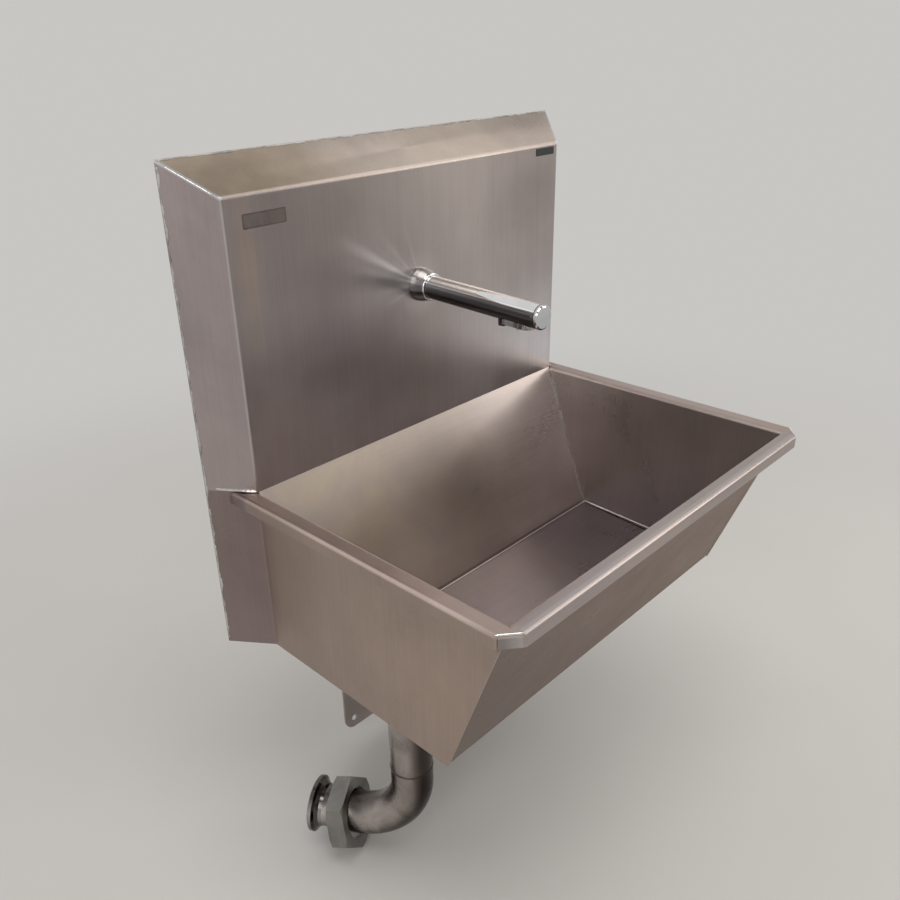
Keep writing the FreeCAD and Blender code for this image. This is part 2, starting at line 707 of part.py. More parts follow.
def union_nut():
    """Hexagonal union nut, hanging loose and aslant on the outlet tube behind the liner's flange."""
    roll = math.radians(NUT_ROLL)
    flat_towards = NUT_TOP * math.cos(roll) - NUT_AXIS.cross(NUT_TOP) * math.sin(roll)
    body = hexagon(NUT_START, NUT_AXIS, NUT_ACROSS_FLATS, NUT_LENGTH, flat_towards)
    corner_r = NUT_ACROSS_FLATS / math.sqrt(3)
    rounding = revolve(
        [
            (0, 0),
            (0, corner_r - 2 * NUT_CHAMFER),
            (NUT_CHAMFER, corner_r),
            (NUT_LENGTH - NUT_CHAMFER, corner_r),
            (NUT_LENGTH, corner_r - 2 * NUT_CHAMFER),
            (NUT_LENGTH, 0),
        ],
        NUT_START,
        NUT_AXIS,
        NUT_TOP,
    )
    past_end = NUT_LENGTH + NUT_LIP
    hole = revolve(
        [
            (-NUT_LIP, 0),
            (-NUT_LIP, NUT_LIP_R),
            (NUT_LIP, NUT_LIP_R),
            (NUT_LIP, NUT_THREAD_R),
            (past_end, NUT_THREAD_R),
            (past_end, 0),
        ],
        NUT_START,
        NUT_AXIS,
        NUT_TOP,
    )
    return body.common(rounding).cut(hole)


# ---- sensor spout ---------------------------------------------------------------------------

PANEL_POINT = Vector(0, -BOX_DEPTH, TAP_Z)
OUT = Vector(0, -1, 0)
SPOUT_BORE_R = SPOUT_R - SPOUT_WALL
HOUSING_FLOOR_Z = TAP_Z - SPOUT_R - HOUSING_DROP
HOUSING_LIP_Z = TAP_Z - SPOUT_R + HOUSING_LIP
AERATOR_CENTRE = Vector(0, -BOX_DEPTH - AERATOR_AT, TAP_Z)


def drooping(shape):
    """A piece of the spout, leaning down with it."""
    return shape.rotate(PANEL_POINT, RIGHT, SPOUT_DROOP)


def spout_collar():
    """Bell-shaped cover ring between panel and spout."""
    bore = SPOUT_R + COLLAR_CLEARANCE
    end_r = bore + COLLAR_END_WALL
    profile = [
        (0, bore),
        (0, COLLAR_R),
        (COLLAR_SKIRT, COLLAR_R),
        (COLLAR_LENGTH * 0.45, COLLAR_R - 0.25 * (COLLAR_R - end_r)),
        (COLLAR_LENGTH - COLLAR_BEVEL, end_r),
        (COLLAR_LENGTH, end_r - COLLAR_BEVEL / 2),
        (COLLAR_LENGTH, bore),
    ]
    return revolve(profile, PANEL_POINT, OUT, UP)


def underside_cavity():
    """Space inside the spout tube that the sensor housing and the aerator fill."""
    start = HOUSING_AT + HOUSING_HALF_WIDTH
    end = HOUSING_AT + HOUSING_LENGTH - HOUSING_HALF_WIDTH
    bottom = TAP_Z - 1.5 * SPOUT_R
    top = TAP_Z - HOUSING_TOP
    block = box(-HOUSING_HALF_WIDTH, HOUSING_HALF_WIDTH, -BOX_DEPTH - end, -BOX_DEPTH - start, bottom, top)
    for along in (start, end):
        block = block.fuse(rod(Vector(0, -BOX_DEPTH - along, bottom), UP, HOUSING_HALF_WIDTH, top - bottom))
    return block.removeSplitter()


def spout_tube():
    """Chromed tube, open below for the sensor housing."""
    start = PANEL_POINT + OUT * SHEET
    pipe = tube(start, OUT, SPOUT_R, SPOUT_BORE_R, SPOUT_REACH - SPOUT_CAP - SHEET)
    return drooping(pipe.cut(underside_cavity()).cut(sensor_window_block()))


def spout_end_cap():
    """Flat end with a small bevel, plugged into the tube."""
    start = SPOUT_REACH - SPOUT_CAP
    profile = [
        (start - CAP_PLUG, 0),
        (start - CAP_PLUG, SPOUT_BORE_R),
        (start, SPOUT_BORE_R),
        (start, SPOUT_R),
        (SPOUT_REACH - CAP_BEVEL, SPOUT_R),
        (SPOUT_REACH - 0.3 * CAP_BEVEL, SPOUT_R - 0.3 * CAP_BEVEL),
        (SPOUT_REACH, SPOUT_R - CAP_BEVEL),
        (SPOUT_REACH, 0),
    ]
    return drooping(revolve(profile, PANEL_POINT, OUT, UP))


def sensor_housing():
    """Moulded underside of the spout: holds the sensor window and the aerator."""
    cavity = underside_cavity()
    front_y = -BOX_DEPTH - SPOUT_REACH
    tower_r = AERATOR_R + 0.5
    tower = rod(AERATOR_CENTRE - UP * HOUSING_TOP, UP, tower_r, HOUSING_TOP + TOWER_TOP)
    inside = rod(PANEL_POINT, OUT, SPOUT_BORE_R, SPOUT_REACH)
    upper = cavity.fuse(tower).common(inside)
    upper = upper.common(box(-SPOUT_R, SPOUT_R, front_y, -BOX_DEPTH, HOUSING_FLOOR_Z, TAP_Z + SPOUT_R))
    lower = cavity.common(box(-SPOUT_R, SPOUT_R, front_y, -BOX_DEPTH, HOUSING_FLOOR_Z, HOUSING_LIP_Z))
    block = upper.fuse(lower)
    deep = AERATOR_CENTRE - UP * 2 * SPOUT_R
    block = block.cut(rod(deep, UP, AERATOR_R + AERATOR_GAP, 2 * SPOUT_R - HOUSING_TOP - AERATOR_GAP))
    block = block.cut(rod(deep, UP, WATER_TUBE_R - WATER_TUBE_WALL, 2 * SPOUT_R))
    block = block.cut(rod(AERATOR_CENTRE, TO_WALL, WATER_TUBE_R, AERATOR_AT))
    return drooping(block.cut(sensor_window_block()).removeSplitter())


def sensor_window_block():
    """Wedge behind the aerator whose dark face looks down and back at the user's hands."""
    near = -BOX_DEPTH - LENS_AT
    low = HOUSING_FLOOR_Z - LENS_DROP
    top = TAP_Z - SPOUT_R + LENS_TOP
    outline = [
        Vector(-LENS_HALF_WIDTH, near, low),
        Vector(-LENS_HALF_WIDTH, near - 0.7 * LENS_LENGTH, low + LENS_RISE),
        Vector(-LENS_HALF_WIDTH, near - LENS_LENGTH, top),
        Vector(-LENS_HALF_WIDTH, near + LENS_RISE, top),
    ]
    return prism(outline, RIGHT * 2 * LENS_HALF_WIDTH)


def sensor_window():
    """Dark lens of the infrared sensor."""
    return drooping(sensor_window_block())


def aerator():
    """Flow-shaping insert that screws into the housing, with key notches in its lower edge."""
    bottom = HOUSING_FLOOR_Z - AERATOR_DROP
    top = TAP_Z - SPOUT_R + AERATOR_TOP
    spot = Vector(0, AERATOR_CENTRE.y, bottom)
    body = rod(spot, UP, AERATOR_R, top - bottom)
    body = body.cut(rod(spot, UP, AERATOR_R - AERATOR_WALL, AERATOR_RECESS))
    across = AERATOR_R + 1
    for turn in (30, 90, 150):
        notch = box(-across, across, -NOTCH_WIDTH / 2, NOTCH_WIDTH / 2, 0, NOTCH_DEPTH)
        body = body.cut(notch.rotate(Vector(0, 0, 0), UP, turn).translate(spot))
    return drooping(body)


def spout_water_tube():
    """Narrow tube that carries the water from the shank to the housing."""
    start = PANEL_POINT + OUT * WATER_TUBE_START
    bore = WATER_TUBE_R - WATER_TUBE_WALL
    return drooping(tube(start, OUT, WATER_TUBE_R, bore, AERATOR_AT - WATER_TUBE_START))


def spout_shank():
    """Threaded stem that passes through the panel, with a leaning plug that carries the spout."""
    stem = tube(PANEL_POINT + OUT, TO_WALL, SHANK_R, SHANK_BORE_R, SHANK_LENGTH)
    plug = tube(PANEL_POINT + OUT * SHANK_PLUG_START, OUT, SPOUT_BORE_R, SHANK_BORE_R, SHANK_PLUG)
    socket = rod(PANEL_POINT + OUT * WATER_TUBE_START, OUT, WATER_TUBE_R, 2 * SHANK_PLUG)
    return stem.fuse(drooping(plug)).cut(drooping(socket)).removeSplitter()


def shank_washer():
    """Rubber washer behind the panel."""
    start = Vector(0, -BOX_DEPTH + SHEET, TAP_Z)
    return tube(start, TO_WALL, WASHER_R, SHANK_R + AERATOR_GAP, WASHER_THICKNESS)


def shank_backnut():
    """Hexagonal nut that clamps the spout to the panel."""
    start = Vector(0, -BOX_DEPTH + SHEET + WASHER_THICKNESS, TAP_Z)
    nut = hexagon(start, TO_WALL, BACKNUT_AF, BACKNUT_LENGTH, UP)
    return nut.cut(rod(start, TO_WALL, SHANK_R, BACKNUT_LENGTH))


# ---- water supply ---------------------------------------------------------------------------

TUBE_TOP = TAP_Z - ELBOW_LEG
LOWER_NUT_TOP = TUBE_BOTTOM + TUBE_SOCKET + NUT_HEIGHT


def on_supply(z):
    """A point on the supply tube's axis."""
    return Vector(0, SUPPLY_Y, z)


def supply_elbow():
    """Brass elbow screwed onto the shank, turning the supply down."""
    start = Vector(0, -BOX_DEPTH + SHEET + WASHER_THICKNESS + BACKNUT_LENGTH + 0.2, TAP_Z)
    to_axis = SUPPLY_Y - start.y
    end = to_axis + ELBOW_LEG_R
    profile = [
        (0, 0),
        (0, ELBOW_BODY_R),
        (end - ELBOW_BEVEL, ELBOW_BODY_R),
        (end, ELBOW_BODY_R - ELBOW_BEVEL),
        (end, 0),
    ]
    leg_bottom = TUBE_TOP - TUBE_SOCKET
    body = revolve(profile, start, TO_WALL, UP)
    body = body.fuse(rod(on_supply(leg_bottom), UP, ELBOW_LEG_R, TAP_Z - leg_bottom))
    body = body.cut(rod(start, TO_WALL, SHANK_R, ELBOW_SOCKET))
    body = body.cut(rod(start, TO_WALL, SHANK_BORE_R, to_axis))
    body = body.cut(rod(on_supply(leg_bottom), UP, SUPPLY_R, TUBE_SOCKET))
    return body.cut(rod(on_supply(leg_bottom), UP, SHANK_BORE_R, TAP_Z - leg_bottom))


def compression_nut(top):
    """Hexagonal compression nut round the supply tube, below the given height."""
    nut = hexagon(on_supply(top - NUT_HEIGHT), UP, NUT_AF, NUT_HEIGHT, TO_WALL)
    return nut.cut(rod(on_supply(top - NUT_HEIGHT), UP, SUPPLY_R, NUT_HEIGHT))


def supply_tube():
    """Straight tube from the valve up to the spout's elbow."""
    return tube(on_supply(TUBE_BOTTOM), UP, SUPPLY_R, SUPPLY_R - SUPPLY_WALL, TUBE_TOP - TUBE_BOTTOM)


def pipe_clip():
    """Saddle clip that holds the supply tube off the wall plate."""
    low = CLIP_Z - CLIP_WIDTH / 2
    ring = tube(on_supply(low), UP, SUPPLY_R + CLIP_WALL, SUPPLY_R, CLIP_WIDTH)
    near = SUPPLY_Y + SUPPLY_R + CLIP_WALL / 2
    foot = box(-CLIP_FOOT / 2, CLIP_FOOT / 2, near, -PLATE, low, low + CLIP_WIDTH)
    return ring.fuse(foot).removeSplitter()


def solenoid_body():
    """Brass valve body with the seat that the solenoid's core closes."""
    neck_top = TUBE_BOTTOM + TUBE_SOCKET
    neck_bottom = neck_top - NUT_HEIGHT
    face = on_supply(SOLENOID_Z)
    body = rod(on_supply(SOLENOID_BOTTOM), UP, SOLENOID_R, neck_bottom - SOLENOID_BOTTOM)
    body = body.fuse(rod(on_supply(neck_bottom), UP, SOLENOID_NECK_R, NUT_HEIGHT))
    body = body.fuse(rod(face, OUT, BONNET_R, BONNET_LENGTH))
    below = SOLENOID_Z - SOLENOID_BRIDGE / 2 - SOLENOID_BOTTOM
    body = body.cut(rod(on_supply(SOLENOID_BOTTOM), UP, SOLENOID_BORE_R, below))
    above = SOLENOID_Z + SOLENOID_BRIDGE
    body = body.cut(rod(on_supply(above), UP, SOLENOID_BORE_R, neck_top - above))
    body = body.cut(rod(on_supply(TUBE_BOTTOM), UP, SUPPLY_R, TUBE_SOCKET))
    return body.cut(rod(face + OUT * SEAT_AT, OUT, CORE_R + 2, BONNET_LENGTH)).removeSplitter()


def solenoid_coil():
    """Moulded coil with the sleeve that guides the core, closed at its front."""
    start = Vector(0, SUPPLY_Y - BONNET_LENGTH, SOLENOID_Z)
    low, high = SOLENOID_Z - COIL_HALF, SOLENOID_Z + COIL_HALF
    block = box(-COIL_HALF, COIL_HALF, start.y - COIL_LENGTH, start.y, low, high)
    upright = [edge for edge in block.Edges if abs(edge.tangentAt(edge.FirstParameter).y) > 0.99]
    block = block.makeFillet(COIL_ROUNDING, upright)
    cap = rod(start + OUT * COIL_LENGTH, OUT, COIL_CAP_R, COIL_CAP)
    return block.fuse(cap).cut(rod(start, OUT, CORE_R + RUNNING_GAP, COIL_LENGTH - 2))


def solenoid_core():
    """Steel core that lifts off the seat when the coil is on."""
    start = Vector(0, SUPPLY_Y - SEAT_AT - SEAT_THICKNESS, SOLENOID_Z)
    return rod(start, OUT, CORE_R, CORE_LENGTH)


def solenoid_seat():
    """Rubber seat disc on the end of the core."""
    start = Vector(0, SUPPLY_Y - SEAT_AT - RUNNING_GAP, SOLENOID_Z)
    return rod(start, OUT, CORE_R + 1, SEAT_THICKNESS - RUNNING_GAP)


def isolating_valve():
    """Brass ball valve body, with the threaded inlet of the sink at its lower end."""
    centre = on_supply(BALL_Z)
    cavity_r = BALL_R + BALL_GAP
    body = rod(on_supply(ISOLATOR_BOTTOM), UP, ISOLATOR_R, SOLENOID_BOTTOM - ISOLATOR_BOTTOM)
    for low in (ISOLATOR_BOTTOM, SOLENOID_BOTTOM - HEX_HEIGHT):
        body = body.fuse(hexagon(on_supply(low), UP, HEX_AF, HEX_HEIGHT, TO_WALL))
    body = body.fuse(rod(on_supply(INLET_BOTTOM), UP, INLET_R, ISOLATOR_BOTTOM - INLET_BOTTOM))
    body = body.fuse(rod(centre, OUT, BOSS_R, BOSS_LENGTH))
    body = body.cut(rod(on_supply(INLET_BOTTOM), UP, SOLENOID_BORE_R, SOLENOID_BOTTOM - INLET_BOTTOM))
    body = body.cut(rod(centre - OUT * cavity_r, OUT, cavity_r, 2 * cavity_r))
    return body.cut(rod(centre, OUT, STEM_R + RUNNING_GAP, 2 * BOSS_LENGTH)).removeSplitter()


def isolating_ball():
    """Bored ball and its stem, turned by the lever."""
    centre = on_supply(BALL_Z)
    profile = []
    for step in range(BALL_BANDS + 1):
        angle = math.pi * step / BALL_BANDS
        profile.append((-BALL_R * math.cos(angle), BALL_R * math.sin(angle)))
    ball = revolve(profile, centre, OUT, UP).cut(rod(centre - UP * BALL_R, UP, BALL_BORE_R, 2 * BALL_R))
    stem = rod(centre + OUT * (BALL_R - 1.5), OUT, STEM_R, LEVER_AT + 1 - BALL_R + 1.5)
    return ball.fuse(stem)


def isolating_lever():
    """Flat lever, in line with the pipe when the valve is open."""
    centre = on_supply(BALL_Z) + OUT * LEVER_AT
    blade_y = centre.y - (HUB_LENGTH - LEVER_THICKNESS) / 2
    half = LEVER_WIDTH / 2
    hub = rod(centre, OUT, HUB_R, HUB_LENGTH)
    arm = box(-half, half, blade_y - LEVER_THICKNESS, blade_y, BALL_Z - LEVER_LENGTH, BALL_Z)
    tip = rod(Vector(0, blade_y, BALL_Z - LEVER_LENGTH), OUT, half, LEVER_THICKNESS)
    return hub.fuse(arm).fuse(tip).cut(rod(centre, OUT, STEM_R, 1)).removeSplitter()


def inlet_filter():
    """Mesh thimble in the inlet that keeps grit out of the valves."""
    start = on_supply(INLET_BOTTOM + 1)
    cup = rod(start, UP, FILTER_R, FILTER_LENGTH)
    return cup.cut(rod(start, UP, FILTER_R - FILTER_WALL, FILTER_LENGTH - FILTER_WALL))


# ---- control box ----------------------------------------------------------------------------

CASE_BACK = -PLATE
CASE_FRONT = CASE_BACK - CASE_DEPTH
CASE_FLOOR = CASE_BACK - CASE_WALL
GLAND_START = Vector(GLAND_X, (CASE_BACK + CASE_FRONT) / 2, CASE_Z[1])


def rounded_block(x, y, z, radius):
    """A block with its edges along Y rounded."""
    block = box(x[0], x[1], y[0], y[1], z[0], z[1])
    along = [edge for edge in block.Edges if abs(edge.tangentAt(edge.FirstParameter).y) > 0.99]
    return block.makeFillet(radius, along)


def drawn_in(span, by):
    """A pair of limits drawn in on both sides."""
    return (span[0] + by, span[1] - by)


def control_box():
    """Open-fronted plastic case screwed to the wall plate."""
    case = rounded_block(CASE_X, (CASE_FRONT, CASE_BACK), CASE_Z, CASE_ROUNDING)
    hollow_x = drawn_in(CASE_X, CASE_WALL)
    hollow_z = drawn_in(CASE_Z, CASE_WALL)
    case = case.cut(rounded_block(hollow_x, (CASE_FRONT, CASE_FLOOR), hollow_z, CASE_ROUNDING - CASE_WALL))
    return case.cut(rod(GLAND_START - UP * 2 * CASE_WALL, UP, GLAND_R, 3 * CASE_WALL))


def cable_gland():
    """Gland for the sensor lead, in the top of the case."""
    stem = rod(GLAND_START - UP * 2 * CASE_WALL, UP, GLAND_R, 2 * CASE_WALL)
    collar = hexagon(GLAND_START, UP, GLAND_AF, GLAND_COLLAR, TO_WALL)
    dome = Part.makeCone(GLAND_AF / 2 - 1, GLAND_R, GLAND_COLLAR, GLAND_START + UP * GLAND_COLLAR, UP)
    body = stem.fuse(collar).fuse(dome)
    return body.cut(rod(GLAND_START - UP * 3 * CASE_WALL, UP, GLAND_BORE_R, 3 * CASE_WALL + 3 * GLAND_COLLAR))


def control_box_lid():
    """Cover that pulls off the front of the case to change the battery."""
    spare = LID_WALL + LID_GAP
    front = CASE_FRONT - spare
    back = front + LID_DEPTH
    lid_x = drawn_in(CASE_X, -spare)
    lid_z = drawn_in(CASE_Z, -spare)
    lid = rounded_block(lid_x, (front, back), lid_z, CASE_ROUNDING + spare)
    hollow_x = drawn_in(CASE_X, -LID_GAP)
    hollow_z = drawn_in(CASE_Z, -LID_GAP)
    return lid.cut(rounded_block(hollow_x, (front + LID_WALL, back), hollow_z, CASE_ROUNDING + LID_GAP))


def battery_pack():
    """Flat six-volt battery, standing in the lower half of the case."""
    low = CASE_Z[0] + CASE_WALL
    x = drawn_in(CASE_X, BATTERY_SIDE_GAP)
    y = (CASE_FLOOR - BATTERY_DEPTH, CASE_FLOOR)
    pack = rounded_block(x, y, (low, low + BATTERY_HEIGHT), BATTERY_ROUNDING)
    middle = Vector((x[0] + x[1]) / 2, CASE_FLOOR - BATTERY_DEPTH / 2, low + BATTERY_HEIGHT)
    for offset in (-CONTACT_SPACING / 2, CONTACT_SPACING / 2):
        pack = pack.fuse(rod(middle + RIGHT * offset, UP, CONTACT_R, CONTACT_HEIGHT))
    return pack


def circuit_board():
    """Control board on four posts, in the upper half of the case."""
    x = drawn_in(CASE_X, BOARD_SIDE_GAP)
    z = (CASE_Z[1] - BOARD_TOP_GAP - BOARD_HEIGHT, CASE_Z[1] - BOARD_TOP_GAP)
    rear = CASE_FLOOR - POST_LENGTH
    front = rear - BOARD_THICKNESS
    board = box(x[0], x[1], front, rear, z[0], z[1])
    for px in drawn_in(x, POST_INSET):
        for pz in drawn_in(z, POST_INSET):
            board = board.fuse(rod(Vector(px, CASE_FLOOR, pz), OUT, POST_R, POST_LENGTH))
    relay = box(x[0] + 8, x[0] + 26, front - RELAY_HEIGHT, front, z[0] + 8, z[0] + 22)
    terminal = box(x[1] - 22, x[1] - 8, front - TERMINAL_HEIGHT, front, z[1] - 14, z[1] - 6)
    return board.fuse(relay).fuse(terminal)


# ---- build ----------------------------------------------------------------------------------

def build():
    """Every sub-part under its own name."""
    left_side = bowl_side()
    trough = bowl_trough()
    left_cap = corner_cap([left_side, trough])
    return {
        "splash_box": splash_box(),
        "bowl_trough": trough,
        "bowl_side_left": left_side,
        "bowl_side_right": mirrored(left_side),
        "rim_corner_left": left_cap,
        "rim_corner_right": mirrored(left_cap),
        "lower_wall_plate": lower_wall_plate(),
        "wall_hanger": wall_hanger(),
        "hanging_tongue": hanging_tongue(),
        "waste_flange": waste_flange(),
        "waste_strainer": waste_strainer(),
        "waste_tail_tube": waste_tail_tube(),
        "waste_elbow": waste_elbow(),
        "union_liner": union_liner(),
        "union_nut": union_nut(),
        "spout_collar": spout_collar(),
        "spout_tube": spout_tube(),
        "spout_end_cap": spout_end_cap(),
        "sensor_housing": sensor_housing(),
        "sensor_window": sensor_window(),
        "aerator": aerator(),
        "spout_water_tube": spout_water_tube(),
        "spout_shank": spout_shank(),
        "shank_washer": shank_washer(),
        "shank_backnut": shank_backnut(),
        "supply_elbow": supply_elbow(),
        "upper_compression_nut": compression_nut(TUBE_TOP - TUBE_SOCKET),
        "supply_tube": supply_tube(),
        "pipe_clip": pipe_clip(),
        "lower_compression_nut": compression_nut(LOWER_NUT_TOP),
        "solenoid_body": solenoid_body(),
        "solenoid_coil": solenoid_coil(),
        "solenoid_core": solenoid_core(),
        "solenoid_seat": solenoid_seat(),
        "isolating_valve": isolating_valve(),
        "isolating_ball": isolating_ball(),
        "isolating_lever": isolating_lever(),
        "inlet_filter": inlet_filter(),
        "control_box": control_box(),
        "control_box_lid": control_box_lid(),
        "cable_gland": cable_gland(),
        "battery_pack": battery_pack(),
        "circuit_board": circuit_board(),
    }


def main():
    os.makedirs("parts", exist_ok=True)
    for name, shape in build().items():
        export(name, shape)


main()
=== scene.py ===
import math

import bmesh
import bpy
from mathutils import Matrix, Vector, noise


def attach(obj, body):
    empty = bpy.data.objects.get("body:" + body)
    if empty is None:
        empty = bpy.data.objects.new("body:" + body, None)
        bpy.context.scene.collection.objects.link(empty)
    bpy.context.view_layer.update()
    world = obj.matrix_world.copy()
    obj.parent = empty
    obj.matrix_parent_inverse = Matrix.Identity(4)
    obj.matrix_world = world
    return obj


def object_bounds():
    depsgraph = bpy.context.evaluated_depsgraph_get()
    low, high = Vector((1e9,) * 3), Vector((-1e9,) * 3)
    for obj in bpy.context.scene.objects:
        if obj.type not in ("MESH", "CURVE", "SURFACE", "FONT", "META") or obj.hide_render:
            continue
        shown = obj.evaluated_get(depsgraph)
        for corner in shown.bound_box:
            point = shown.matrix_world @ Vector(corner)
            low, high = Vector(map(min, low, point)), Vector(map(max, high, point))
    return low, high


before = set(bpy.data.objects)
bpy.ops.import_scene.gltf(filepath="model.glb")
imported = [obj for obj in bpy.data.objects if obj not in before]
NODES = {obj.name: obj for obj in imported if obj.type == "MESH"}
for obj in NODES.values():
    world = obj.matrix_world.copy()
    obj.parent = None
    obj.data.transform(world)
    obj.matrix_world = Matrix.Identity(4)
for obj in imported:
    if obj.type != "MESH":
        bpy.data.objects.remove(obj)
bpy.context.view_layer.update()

AXES = ("x", "y", "z")

# ------------------------------------------------- sizes in metres, in the sink's own frame

BOX_TOP_AT_WALL = 0.411
BOX_TOP_AT_FRONT = 0.385
BOX_DEPTH = 0.036
HALF_AT_WALL = 0.220
HALF_AT_FRONT = 0.194
TAP_Z = 0.2845
WASTE_X = -0.1445
WASTE_Y = -0.1508
WASTE_R = 0.01905
ELBOW_TOP_Z = -0.0995

# The bowl: its rim, its walls and the folds of its trough.
RIM_Z = 0.1525
RIM_FRONT_Y = -0.313
RIM_HALF = 0.208
SIDE_SKIN_X = 0.194
SEAM_TOP_Z = RIM_Z - 0.004
BACK_TOP_Y = -0.0385
BACK_FOLD_Y = -0.0912
BACK_FOLD_Z = 0.0062
FRONT_FOLD_Y = -0.2425
FRONT_FOLD_Z = 0.0005
FRONT_TOP_Y = -0.2985
FOLD_HALF = 0.19
TROUGH_SEAM_X = 0.1912
SIDE_SEAM_X = 0.1918
BEAD_X = 0.1921

# The spout.
SPOUT_DROOP = math.radians(2.0)
SPOUT_JOINT = 0.1697
JOINT_WIDTH = 0.0006
COLLAR_END = 0.0140
AERATOR_Y = -0.1520
# Radii of the aerator's ring, inside which its chrome is painted dark as shade.
AERATOR_SKIN = (0.0058, 0.0054)
HOUSING_SOIL_Y = -0.1455
HOUSING_SOIL_RUN = 0.004

# Bare plate and label on the front panel, in x and z.
PLATE_BOX = ((-0.178, -0.139), (0.3605, 0.3715))
PLATE_BORDER = (0.0012, 0.0008)
LABEL_BOX = ((0.161, 0.1885), (0.375, 0.382))
SEALANT_WIDTH = 0.0023

# ------------------------------------------------- shader helpers


class Graph:
    """Nodes of one shader tree, with masks by place and by the surface's direction."""

    def __init__(self, tree, coordinates):
        self.tree = tree
        self.place = self.node("ShaderNodeTexCoord").outputs[coordinates]

    def node(self, kind, **settings):
        made = self.tree.nodes.new(kind)
        for key, value in settings.items():
            setattr(made, key, value)
        return made

    def feed(self, target, value):
        if isinstance(value, bpy.types.NodeSocket):
            self.tree.links.new(value, target)
        else:
            target.default_value = value

    def math(self, operation, a, b=0.0, clamp=False):
        made = self.node("ShaderNodeMath", operation=operation, use_clamp=clamp)
        self.feed(made.inputs[0], a)
        self.feed(made.inputs[1], b)
        return made.outputs[0]

    def vector(self, operation, a, b=(0.0, 0.0, 0.0)):
        made = self.node("ShaderNodeVectorMath", operation=operation)
        self.feed(made.inputs[0], a)
        self.feed(made.inputs[1], b)
        return made

    def noise(self, scale, stretch=(1.0, 1.0, 1.0), detail=3.0, roughness=0.55,
              shift=(0.0, 0.0, 0.0), distortion=0.0):
        mapping = self.node("ShaderNodeMapping")
        self.feed(mapping.inputs["Vector"], self.place)
        mapping.inputs["Scale"].default_value = stretch
        mapping.inputs["Location"].default_value = shift
        made = self.node("ShaderNodeTexNoise")
        self.feed(made.inputs["Vector"], mapping.outputs[0])
        made.inputs["Scale"].default_value = scale
        made.inputs["Detail"].default_value = detail
        made.inputs["Roughness"].default_value = roughness
        made.inputs["Distortion"].default_value = distortion
        return made.outputs["Fac"]

    def remap(self, value, low, high, to_low=0.0, to_high=1.0, smooth=False):
        made = self.node("ShaderNodeMapRange")
        made.interpolation_type = "SMOOTHSTEP" if smooth else "LINEAR"
        self.feed(made.inputs["Value"], value)
        ends = zip(("From Min", "From Max", "To Min", "To Max"), (low, high, to_low, to_high))
        for key, number in ends:
            self.feed(made.inputs[key], number)
        return made.outputs[0]

    def ramp(self, value, low, high, to_low=0.0, to_high=1.0):
        """Eased step from to_low at low to to_high at high."""
        return self.remap(value, low, high, to_low, to_high, smooth=True)

    def mix(self, share, first, second):
        made = self.node("ShaderNodeMix", data_type="RGBA")
        self.feed(made.inputs[0], share)
        for socket, colour in ((made.inputs[6], first), (made.inputs[7], second)):
            linked = isinstance(colour, bpy.types.NodeSocket)
            self.feed(socket, colour if linked else (*colour, 1.0))
        return made.outputs[2]

    def axis(self, letter):
        if not hasattr(self, "parts"):
            split = self.node("ShaderNodeSeparateXYZ")
            self.feed(split.inputs[0], self.place)
            self.parts = dict(zip(AXES, split.outputs))
        return self.parts[letter]

    def near_line(self, start, end, width, power=1.0):
        """1 on the straight line from start to end, 0 beyond width from it."""
        run = Vector(end) - Vector(start)
        to_point = self.vector("SUBTRACT", self.place, tuple(start)).outputs[0]
        along = self.vector("DOT_PRODUCT", to_point, tuple(run)).outputs["Value"]
        along = self.math("DIVIDE", along, run.length_squared, clamp=True)
        foot = self.node("ShaderNodeVectorMath", operation="SCALE")
        foot.inputs[0].default_value = tuple(run)
        self.feed(foot.inputs["Scale"], along)
        off = self.vector("SUBTRACT", to_point, foot.outputs[0]).outputs[0]
        distance = self.vector("LENGTH", off).outputs["Value"]
        return self.ramp(distance, width, width * 0.25, 0.0, power)

    def near_point(self, centre, reach, power=1.0):
        """1 at centre, fading to 0 at the distances in reach along x, y and z."""
        off = self.vector("SUBTRACT", self.place, tuple(centre)).outputs[0]
        off = self.vector("DIVIDE", off, tuple(reach)).outputs[0]
        return self.ramp(self.vector("LENGTH", off).outputs["Value"], 1.0, 0.0, 0.0, power)

    def facing(self, letter):
        """The surface's own normal along one of the sink's axes."""
        if not hasattr(self, "normals"):
            split = self.node("ShaderNodeSeparateXYZ")
            self.feed(split.inputs[0], self.place.node.outputs["Normal"])
            self.normals = dict(zip(AXES, split.outputs))
        return self.normals[letter]

    def tone(self, share, colour, factor):
        """Multiplies colour by factor where share is 1."""
        made = self.node("ShaderNodeMix", data_type="RGBA", blend_type="MULTIPLY")
        self.feed(made.inputs[0], share)
        self.feed(made.inputs[6], colour)
        made.inputs[7].default_value = (*factor, 1.0)
        return made.outputs[2]

    def most(self, values):
        made = values[0]
        for value in values[1:]:
            made = self.math("MAXIMUM", made, value)
        return made

    def times(self, *values):
        made = values[0]
        for value in values[1:]:
            made = self.math("MULTIPLY", made, value)
        return made

    def bump(self, height, strength, distance, after=None):
        made = self.node("ShaderNodeBump")
        made.inputs["Strength"].default_value = strength
        made.inputs["Distance"].default_value = distance
        self.feed(made.inputs["Height"], height)
        if after is not None:
            self.feed(made.inputs["Normal"], after)
        return made.outputs[0]


